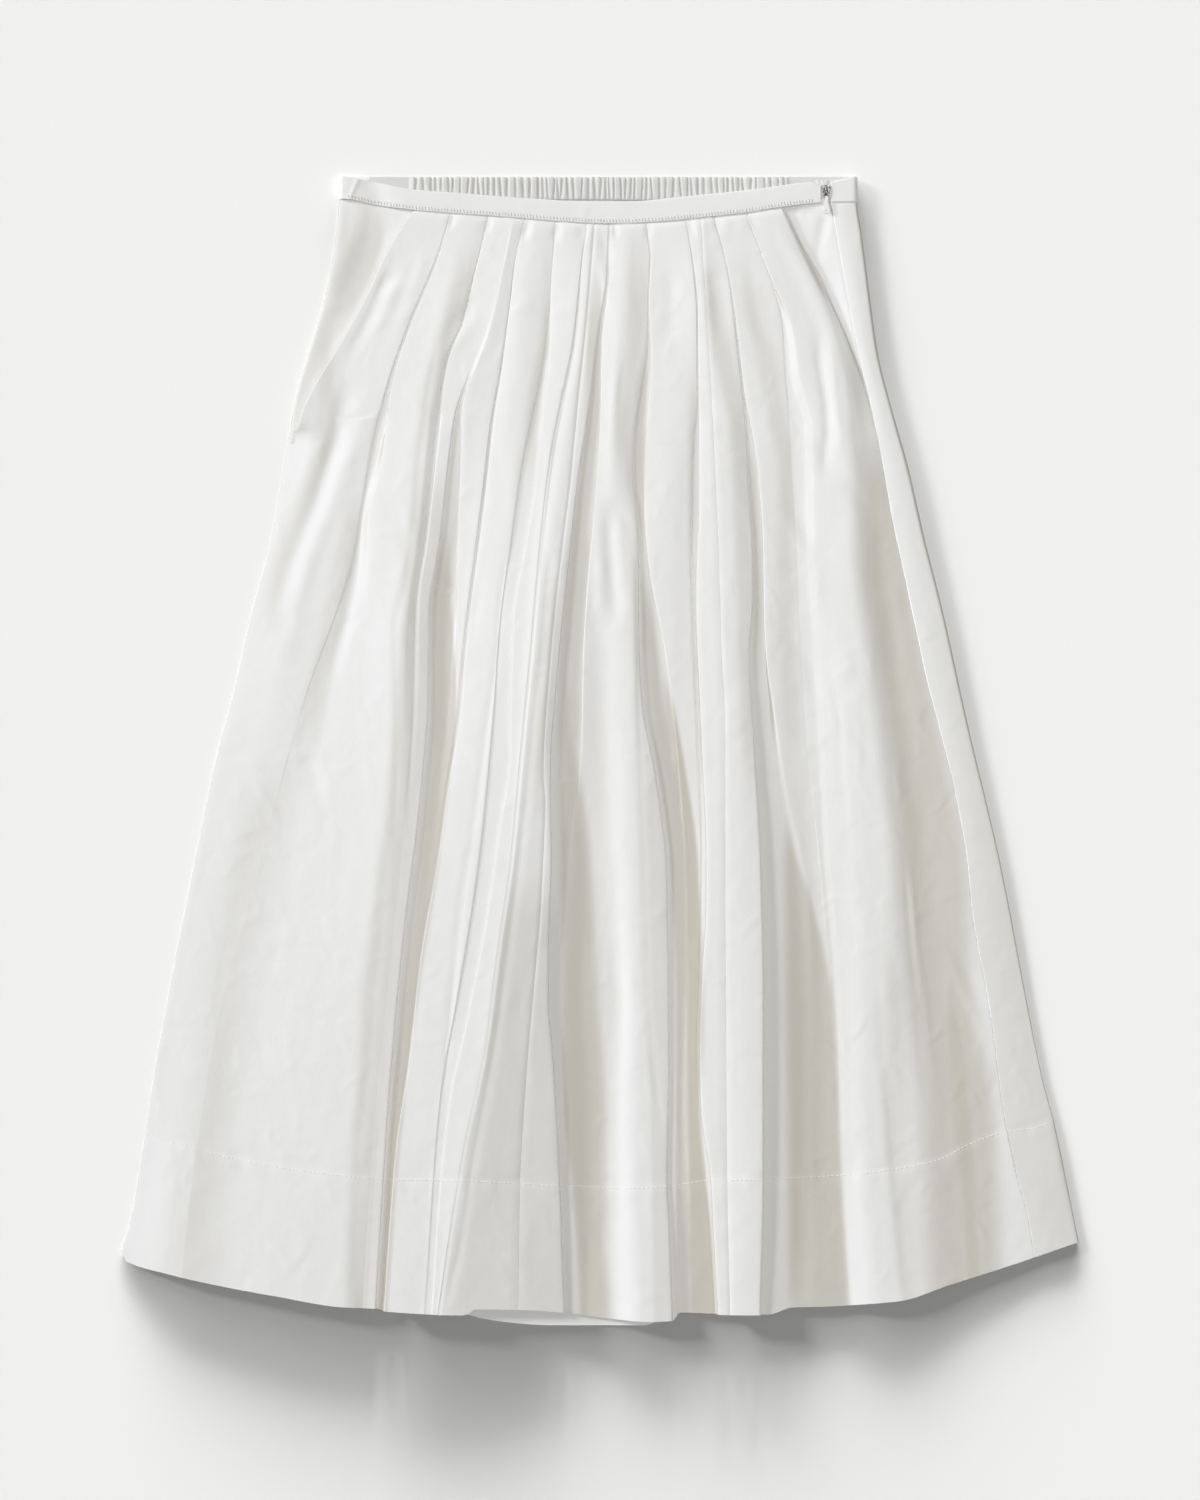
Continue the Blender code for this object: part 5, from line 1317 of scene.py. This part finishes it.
def build_bands():
    """The plain front waistband, and the back one behind it, which comes round the right edge."""
    left = float(across(along(LEFT_OUTLINE, BAND_LEFT_ROW)))
    right = float(across(along(RIGHT_OUTLINE, BAND_RIGHT_ROW)))
    under_seam = float(across(along(LEFT_UNDER_SEAM, BAND_LEFT_ROW)))
    front_end, back_end = (float(across(column)) for column in BAND_ENDS_PX)
    x = np.linspace(left + 2 * BAND_TURN, front_end, FRONT_BAND_STEPS)[1:]
    dent = PINCH_DEPTH * np.exp(-((column_of(x) - PINCH_COLUMN) / PINCH_HALF) ** 2)
    path = [(under_seam, BAND_LOW), ((under_seam + left + BAND_TURN) / 2, BAND_LOW)]
    path += band_turn(left, -1)
    path += list(zip(x, BAND_HIGH - dent))
    xs, zs = np.array(path).T
    columns = column_of(xs)
    on_top = zs > BAND_LOW + BAND_TURN
    corner = SQUARE_CORNER_PX * ease(columns, 812, BAND_ENDS_PX[0])
    top = up(np.where(on_top, along(FRONT_BAND_TOP, columns) + corner, TOP_ROW))
    low = up(np.where(on_top, along(FRONT_WAIST, columns), along(BACK_WAIST, columns)) - UNDER_BAND_PX)
    front = build_band("band_front", (xs, zs), top, low, front_band_relief, BAND_CLOTH, "waistband_front")

    ruched_from, ruched_to = (float(across(column)) for column in RUCHED_PX)
    path = [(under_seam + UNDER_GAP, BAND_LOW), ((under_seam + ruched_from) / 2, BAND_LOW)]
    path += [(x, BAND_LOW) for x in np.linspace(ruched_from - 0.004, ruched_to + 0.004, RUCHED_STEPS)]
    path += [((ruched_to + right) / 2, BAND_LOW)]
    path += band_turn(right, 1)
    path += [(x, BAND_HIGH) for x in np.linspace(right - BAND_TURN, back_end, 14)[1:]]
    xs, zs = np.array(path).T
    columns = column_of(xs)
    on_top = zs > BAND_LOW + BAND_TURN
    ruched = (columns > RUCHED_PX[0]) & (columns < RUCHED_PX[1]) & ~on_top
    ribs = rib_heights(columns, np.zeros_like(columns)) * ~on_top
    ruched_top = TOP_ROW + SCALLOP_PX * (1 - ribs) * ruched
    top = up(np.where(on_top, along(BACK_BAND_TURNED_TOP, columns), ruched_top))
    low = up(along(BACK_WAIST, columns) - UNDER_BAND_PX)
    back = build_band("band_back", (xs, zs), top, low, back_band_relief, BAND_INSIDE, "waistband_back",
                      paint_shade=True)
    return front, back


fronts = build_front()
back = build_back()
hips = build_hips()
band_front, band_back = build_bands()


def nickel_with_painted_reflection():
    """Nickel with a painted reflection: dark blotches in its colour stand for a dim room mirrored in it."""
    material, shader = node_material("zip_metal", (0.3, 0.3, 0.3), 0.52)
    shader.inputs["Metallic"].default_value = 1.0
    place = add_node(material, "ShaderNodeTexCoord")
    blotches = add_node(material, "ShaderNodeTexNoise", Scale=620.0, Detail=2.0)
    link(material, place.outputs["Object"], blotches.inputs["Vector"])
    # painted reflection: the blotches take the colour from near black to grey
    ramp = add_node(material, "ShaderNodeValToRGB")
    ramp.color_ramp.elements[0].position = 0.40
    ramp.color_ramp.elements[0].color = (0.008, 0.008, 0.010, 1)
    ramp.color_ramp.elements[1].position = 0.56
    ramp.color_ramp.elements[1].color = (0.30, 0.30, 0.31, 1)
    link(material, blotches.outputs["Fac"], ramp.inputs["Fac"])
    link(material, ramp.outputs["Color"], shader.inputs["Base Color"])
    worn = add_node(material, "ShaderNodeBump", Strength=0.3, Distance=0.00006)
    link(material, blotches.outputs["Fac"], worn.inputs["Height"])
    link(material, worn.outputs["Normal"], shader.inputs["Normal"])
    return material


def enamelled():
    """White enamel, slightly uneven."""
    material, shader = node_material("pull_enamel", (0.76, 0.76, 0.76), 0.55, specular=0.22)
    place = add_node(material, "ShaderNodeTexCoord")
    coat = add_node(material, "ShaderNodeTexNoise", Scale=480.0, Detail=2.0)
    link(material, place.outputs["Object"], coat.inputs["Vector"])
    coated = add_node(material, "ShaderNodeBump", Strength=0.2, Distance=0.00006)
    link(material, coat.outputs["Fac"], coated.inputs["Height"])
    link(material, coated.outputs["Normal"], shader.inputs["Normal"])
    return material


def ring_mesh(name, rings, closed_ends=False):
    """A mesh from rings of points (rings, points, 3), joined in a circle or capped at both ends."""
    count, points = rings.shape[:2]
    index = np.arange(count * points).reshape(count, points)
    wrapped = np.concatenate([index, index[:, :1]], axis=1)
    if not closed_ends:
        wrapped = np.concatenate([wrapped, wrapped[:1]], axis=0)
    faces = quads_between(wrapped).tolist()
    if closed_ends:
        faces += [index[0].tolist(), index[-1][::-1].tolist()]
    mesh = bpy.data.meshes.new(name)
    mesh.from_pydata(rings.reshape(-1, 3).tolist(), [], faces)
    mesh.polygons.foreach_set("use_smooth", np.ones(len(mesh.polygons), bool))
    shape = bmesh.new()
    shape.from_mesh(mesh)
    bmesh.ops.recalc_face_normals(shape, faces=shape.faces)
    shape.to_mesh(mesh)
    shape.free()
    mesh.set_sharp_from_angle(angle=METAL_SHARP)
    piece = bpy.data.objects.new(name, mesh)
    bpy.context.scene.collection.objects.link(piece)
    return piece


def plate(name, outer, inner, low, high, bevel):
    """A flat plate with a hole: outer and inner outlines (points, 2) that match point by point."""
    def grown(outline, by):
        centre = outline.mean(axis=0)
        away = outline - centre
        return outline + away / np.linalg.norm(away, axis=1, keepdims=True) * by

    heights = (low, low + bevel, high - bevel, high)
    insets = (bevel, 0, 0, bevel)
    profile = [(outer, -inset, z) for inset, z in zip(insets, heights)]
    profile += [(inner, inset, z) for inset, z in zip(insets, heights[::-1])]
    rings = []
    for outline, by, z in profile:
        flat = grown(outline, by)
        rings.append(np.column_stack([flat, np.full(len(flat), z)]))
    return ring_mesh(name, np.array(rings))


def circle(count):
    return np.linspace(0, 2 * math.pi, count, endpoint=False)


def tube(name, path, radius, squash=1.0, closed=False):
    """A rounded bar along a path of points. squash flattens it across X."""
    path = np.asarray(path, float)
    ahead = np.roll(path, -1, axis=0) - np.roll(path, 1, axis=0)
    if not closed:
        ahead[0], ahead[-1] = path[1] - path[0], path[-1] - path[-2]
    ahead /= np.linalg.norm(ahead, axis=1, keepdims=True)
    side = np.array([1.0, 0, 0]) if abs(ahead[:, 0]).max() < 0.7 else np.array([0, 0, 1.0])
    up_way = np.cross(ahead, side)
    up_way /= np.linalg.norm(up_way, axis=1, keepdims=True)
    side_way = np.cross(up_way, ahead)
    angles = circle(12)
    rings = (path[:, None] + radius * squash * np.cos(angles)[None, :, None] * side_way[:, None]
             + radius * np.sin(angles)[None, :, None] * up_way[:, None])
    return ring_mesh(name, rings, closed_ends=not closed)


def joined(name, pieces):
    """One object from several, with the materials of the first."""
    shape = bmesh.new()
    for piece in pieces:
        shape.from_mesh(piece.data)
        bpy.data.objects.remove(piece)
    mesh = bpy.data.meshes.new(name)
    shape.to_mesh(mesh)
    shape.free()
    mesh.set_sharp_from_angle(angle=METAL_SHARP)
    whole = bpy.data.objects.new(name, mesh)
    bpy.context.scene.collection.objects.link(whole)
    return whole


def mirrored(sides, centre_x, count):
    """An outline (points, 2) from (y, half width) places in mm down its side."""
    places, halves = zip(*sides)
    ys = places[0] + (places[-1] - places[0]) * (1 - np.cos(np.linspace(0, math.pi, count))) / 2
    half = hermite(places, halves, ys)
    outline = np.concatenate([np.column_stack([half, ys]), np.column_stack([-half[::-1], ys[::-1]])]) * MM
    outline[:, 0] += centre_x
    return outline


TAB_LOW, TAB_HIGH, TAB_BEVEL = 5.9 * MM, 6.7 * MM, 0.18 * MM
TAB_CENTRE_X = 161.6 * MM
TAB_SIDE_MM = ((383.2, 0.25), (383.6, 1.25), (384.4, 2.0), (385.6, 2.35), (387.2, 2.2), (389.5, 1.6),
               (392.0, 1.25), (394.6, 1.1), (395.8, 0.8), (396.1, 0.2))
TAB_HOLE_Y, TAB_HOLE_RADIUS = 385.2 * MM, 0.7 * MM
EYE_CENTRE = (161.6 * MM, 396.5 * MM, 6.3 * MM)
EYE_RADIUS, EYE_WIRE = 0.75 * MM, 0.26 * MM


def build_tab():
    """The drop-shaped pull tab and the eye by which it hangs on the slider."""
    outer = mirrored(TAB_SIDE_MM, TAB_CENTRE_X, 26)
    centre = np.array([TAB_CENTRE_X, TAB_HOLE_Y])
    away = outer - centre
    inner = centre + away / np.linalg.norm(away, axis=1, keepdims=True) * TAB_HOLE_RADIUS
    blade = plate("blade", outer, inner, TAB_LOW, TAB_HIGH, TAB_BEVEL)
    turns = circle(28)
    eye_path = np.array(EYE_CENTRE) + EYE_RADIUS * np.column_stack([np.cos(turns), np.sin(turns), 0 * turns])
    eye = tube("eye", eye_path, EYE_WIRE, closed=True)
    tab = joined("zip_pull", [blade, eye])
    tab.data.materials.append(enamelled())
    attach(tab, "pull_tab")
    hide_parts("zip_pull_tab")
    return tab


SLIDER_CENTRE_X = 161.5 * MM
SLIDER_SIDE_MM = ((394.8, 0.3), (395.0, 1.5), (395.8, 2.1), (398.5, 2.3), (401.0, 3.1), (402.8, 3.4),
                  (403.6, 2.9), (403.8, 0.4))
# The slider's two plates and the post between them: shares of the outline for the outer and inner edges,
# then the low face, the high face and the bevel in mm.
SLIDER_LAYERS = ((1, 0.22, 4.35, 4.8, 0.15), (1, 0.22, 5.2, 5.7, 0.15), (0.3, 0.12, 4.7, 5.3, 0.1))
BRIDGE_Y, BRIDGE_HALF = 399.3 * MM, 3.4 * MM
BRIDGE_Z, BRIDGE_RISE, BRIDGE_BAR = 5.55 * MM, 1.85 * MM, 0.38 * MM


def build_slider(metal):
    """The slider: two plates on a post, and the bridge that holds the tab's eye."""
    outline = mirrored(SLIDER_SIDE_MM, SLIDER_CENTRE_X, 22)
    centre = outline.mean(axis=0)
    layers = []
    for outer_share, inner_share, low, high, bevel in SLIDER_LAYERS:
        outer, inner = (centre + (outline - centre) * share for share in (outer_share, inner_share))
        layers.append(plate("layer", outer, inner, low * MM, high * MM, bevel * MM))
    arch = []
    for t in np.linspace(math.radians(4), math.radians(176), 17):
        arch.append((SLIDER_CENTRE_X, BRIDGE_Y + BRIDGE_HALF * math.cos(t),
                     BRIDGE_Z + BRIDGE_RISE * math.sin(t) ** 0.7))
    bridge = tube("bridge", arch, BRIDGE_BAR, squash=2.4)
    slider = joined("zip_slider_body", [*layers, bridge])
    slider.data.materials.append(metal)
    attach(slider, "skirt")
    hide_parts("zip_slider")
    return slider


TAPE_X_MM, TAPE_Y_MM = (152.3, 170.7), (394.4, 407.7)
TAPE_Z = 3.5 * MM
TAPE_WALL = 0.0006
TOOTH_PITCH, TOOTH_WIRE = 1.05 * MM, 0.17 * MM


def build_tape(metal):
    """The woven tape behind the slider and the coil that the slider closes."""
    x, y = np.meshgrid(np.linspace(*TAPE_X_MM, 60) * MM, np.linspace(*TAPE_Y_MM[::-1], 40) * MM)
    split = np.exp(-((x - SLIDER_CENTRE_X) / (0.5 * MM)) ** 2)
    ribs = 0.10 * MM * np.cos(x / (0.55 * MM))
    points = np.stack([x, y, TAPE_Z + ribs - 0.15 * MM * split], axis=-1)
    tape = shell("zip_tape_cloth", points, TAPE_WALL, TAPE_CLOTH)
    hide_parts("zip_tape")
    teeth = []
    low, high = TAPE_Y_MM[0] * MM + 0.5 * TOOTH_PITCH, TAPE_Y_MM[1] * MM - 0.3 * MM
    for i, tooth_y in enumerate(np.arange(low, high, TOOTH_PITCH / 2)):
        side = 1 if i % 2 else -1
        loop = []
        for t in circle(10):
            off_middle = side * (0.55 + 0.95 * math.cos(t)) * MM
            loop.append((SLIDER_CENTRE_X + off_middle, tooth_y + 0.12 * MM * math.sin(t),
                         TAPE_Z + (0.55 + 0.42 * math.sin(t)) * MM))
        teeth.append(tube("tooth", loop, TOOTH_WIRE, closed=True))
    coil = joined("zip_coil", teeth)
    coil.data.materials.append(metal)
    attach(coil, "skirt")
    return tape, coil


nickel = nickel_with_painted_reflection()
pull_tab = build_tab()
slider = build_slider(nickel)
zip_tape, zip_coil = build_tape(enamelled())


def thread_material(name, colour):
    """Plied cotton."""
    material, shader = node_material(name, colour, 0.6, sheen=0.1, specular=0.3)
    place = add_node(material, "ShaderNodeTexCoord")
    plies = add_node(material, "ShaderNodeTexWave", Scale=900.0, Distortion=1.0, Detail=1.0)
    plies.bands_direction = "DIAGONAL"
    link(material, place.outputs["Object"], plies.inputs["Vector"])
    twisted = add_node(material, "ShaderNodeBump", Strength=0.4, Distance=0.00004)
    link(material, plies.outputs["Fac"], twisted.inputs["Height"])
    link(material, twisted.outputs["Normal"], shader.inputs["Normal"])
    return material


THREAD_COTTON = thread_material("thread_cotton", (0.80, 0.80, 0.79))
THREAD_SHADE = thread_material("thread_in_shade", (0.50, 0.49, 0.45))

STITCH, STITCH_GAP, THREAD = 2.3 * MM, 0.9 * MM, 0.22 * MM
TICK_WIDTH, TICK_GAP, TICK = 0.6 * MM, 1.7 * MM, 0.36 * MM
STITCH_DIP = (-0.9, 0.1, 0.2, 0.1, -0.9)  # height of each point of a stitch, in thread radii
ABOVE_ALL = 0.05
STEEPEST = 0.8 * MM


def stitch_row(name, places, surface, upright=None, thread=THREAD_COTTON):
    """Stitches on a surface below a row of (x, y) places: end to end, or upright ticks of this length."""
    tree = BVHTree.FromObject(surface, bpy.context.evaluated_depsgraph_get())
    rng = np.random.default_rng(sum(map(ord, name)))
    travel = np.concatenate([[0], np.cumsum(np.hypot(*np.diff(places, axis=0).T))])
    if upright is None:
        width, gap, radius, rise = STITCH, STITCH_GAP, THREAD, THREAD
    else:
        width, gap, radius, rise = TICK_WIDTH, TICK_GAP, TICK, -0.75 * TICK
    threads = []
    start = 0.0
    while start + STITCH < travel[-1]:
        length = width * rng.uniform(0.85, 1.1)
        at = start + np.linspace(0, 1, len(STITCH_DIP)) * length
        xs, ys = (np.interp(at, travel, places[:, k]) for k in (0, 1))
        if upright is not None:
            ys = ys + np.linspace(0.5, -0.5, len(STITCH_DIP)) * upright * rng.uniform(0.7, 1.1)
        ys = ys + 0.2 * MM * rng.uniform(-0.5, 0.5)
        stitch = []
        for x, y, dip in zip(xs, ys, STITCH_DIP):
            hit = tree.ray_cast(Vector((x, y, ABOVE_ALL)), Vector((0, 0, -1)))[0]
            if hit is not None:
                stitch.append((x, y, hit.z + rise * 0.4 + THREAD * dip))
        if len(stitch) == len(STITCH_DIP) and abs(np.diff(stitch, axis=0)[:, 2]).max() < STEEPEST:
            threads.append(tube("thread", stitch, radius))
        start += length + gap * rng.uniform(0.8, 1.2)
    row = joined(name, threads)
    row.data.materials.append(thread)
    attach(row, "skirt")
    return row


# The gores' parts of the hem seam: name, first and last column, and what lies there.
HEM_SPANS = (("left", 133, 517, fronts[0]), ("centre", 523, 724, fronts[1]),
             ("right", 730, 1002, fronts[2]), ("back", 1010, 1050, back))
BAND_TICKS_PX, TICK_LENGTH = (348, 818), 2.4 * MM


def stitch_places(track, shift, first, last):
    """Places (x, y) along a track across the skirt, moved down by this many rows."""
    columns = np.arange(first, last)
    return np.column_stack([across(columns), up(along(track, columns) + shift)])


hem_rows = [stitch_row(f"hem_stitches_{name}", stitch_places(HEM_SEAM, 0.5, first, last), surface)
            for name, first, last, surface in HEM_SPANS]
band_row = stitch_row("band_stitches", stitch_places(FRONT_WAIST, -3, *BAND_TICKS_PX), band_front,
                      upright=TICK_LENGTH, thread=THREAD_SHADE)


FLOOR_SIZE = 4.0


def build_floor():
    """The paper that the skirt lies on."""
    floor_material, shader = node_material("floor_paper", (0.83, 0.843, 0.874), 0.9, specular=0.1)
    grain = add_node(floor_material, "ShaderNodeTexNoise", Scale=300.0, Detail=2.0)
    bump = add_node(floor_material, "ShaderNodeBump", Strength=0.02, Distance=0.0001)
    link(floor_material, grain.outputs["Fac"], bump.inputs["Height"])
    link(floor_material, bump.outputs["Normal"], shader.inputs["Normal"])
    corners = FLOOR_SIZE * np.array([(-1, -1, 0), (1, -1, 0), (1, 1, 0), (-1, 1, 0)], float)
    floor = mesh_object("floor", corners, np.array([[0, 1, 2, 3]]))
    floor.data.materials.append(floor_material)
    return floor


def receivers(name, pieces):
    """A collection of the pieces that some lights shine on."""
    collection = bpy.data.collections.new(name)
    bpy.context.scene.collection.children.link(collection)
    for piece in pieces:
        collection.objects.link(piece)
    return collection


floor_only = receivers("floor_receivers", [build_floor()])
zip_pieces = [pull_tab, slider, zip_tape, zip_coil]
skirt_only = receivers("skirt_receivers", [*fronts, back, *hips, band_front, band_back, *zip_pieces,
                                           *hem_rows, band_row])

WARM = (1.0, 0.982, 0.935)
COOL = (1.0, 1.03, 1.09)
# Suns on the floor alone: azimuth, elevation and angle in degrees, then share.
FLOOR_SUNS = ((66, 6.5, 9, 0.03), (78, 5.0, 9, 0.08), (90, 4.2, 8, 0.14), (101, 4.2, 8, 0.14),
              (112, 4.5, 8, 0.12), (123, 6, 10, 0.07), (136, 10, 9, 0.07), (150, 15, 9, 0.13))
SUN_DISTANCE = 5.0


def add_light(name, kind, azimuth, elevation, distance, receiving, colour):
    """A light that looks at the middle of the skirt. Azimuth turns from +X towards +Y."""
    light = bpy.data.lights.new(name, kind)
    light.color = colour
    lamp = bpy.data.objects.new(name, light)
    a, e = math.radians(azimuth), math.radians(elevation)
    lamp.location = distance * Vector((math.cos(a) * math.cos(e), math.sin(a) * math.cos(e), math.sin(e)))
    lamp.rotation_euler = lamp.location.to_track_quat("Z", "Y").to_euler()
    bpy.context.scene.collection.objects.link(lamp)
    lamp.light_linking.receiver_collection = receiving
    return light


def add_sun(name, azimuth, elevation, angle, share, receiving, colour=WARM):
    """A sun that gives a level surface this share of the light that it has altogether."""
    sun = add_light(name, "SUN", azimuth, elevation, SUN_DISTANCE, receiving, colour)
    sun.angle = math.radians(angle)
    sun.energy = share * math.pi / math.sin(math.radians(elevation))


add_sun("key", 150, 34, 12, 0.18, skirt_only, COOL)
add_sun("low_key", 163, 15, 8, 0.16, skirt_only, COOL)
add_sun("front_fill", 90, 89, 4, 0.50, skirt_only)
UPPER_DISTANCE, UPPER_SIZE, UPPER_SHARE = 0.95, 0.5, 0.10
upper = add_light("upper_fill", "AREA", 90, 70, UPPER_DISTANCE, skirt_only, WARM)
upper.shape = "SQUARE"
upper.size = UPPER_SIZE
upper.energy = UPPER_SHARE * 4 * UPPER_DISTANCE ** 2 * math.pi
add_sun("floor_fill", 90, 89, 4, 0.175, floor_only)
for azimuth, elevation, angle, share in FLOOR_SUNS:
    add_sun(f"low_{azimuth}_{elevation:.0f}", azimuth, elevation, angle, share, floor_only)

world = bpy.data.worlds.new("studio")
world.use_nodes = True
world.node_tree.nodes["Background"].inputs["Color"].default_value = (*WARM, 1)
world.node_tree.nodes["Background"].inputs["Strength"].default_value = 0.10
bpy.context.scene.world = world

scene = bpy.context.scene
scene.view_settings.view_transform = "Standard"
SENSOR = 36
VIEW_ROWS = 1500
CAMERA_DISTANCE = 5.0
FOCUS_HEIGHT = 8 * MM  # where a row of the picture is PX high
camera_data = bpy.data.cameras.new("camera")
camera_data.sensor_width = SENSOR
camera_data.lens = SENSOR * (CAMERA_DISTANCE - FOCUS_HEIGHT) / (VIEW_ROWS * PX)
camera_data.clip_end = 50
camera = bpy.data.objects.new("camera", camera_data)
camera.location = (0, float(up(VIEW_ROWS / 2)), CAMERA_DISTANCE)
scene.collection.objects.link(camera)
scene.camera = camera
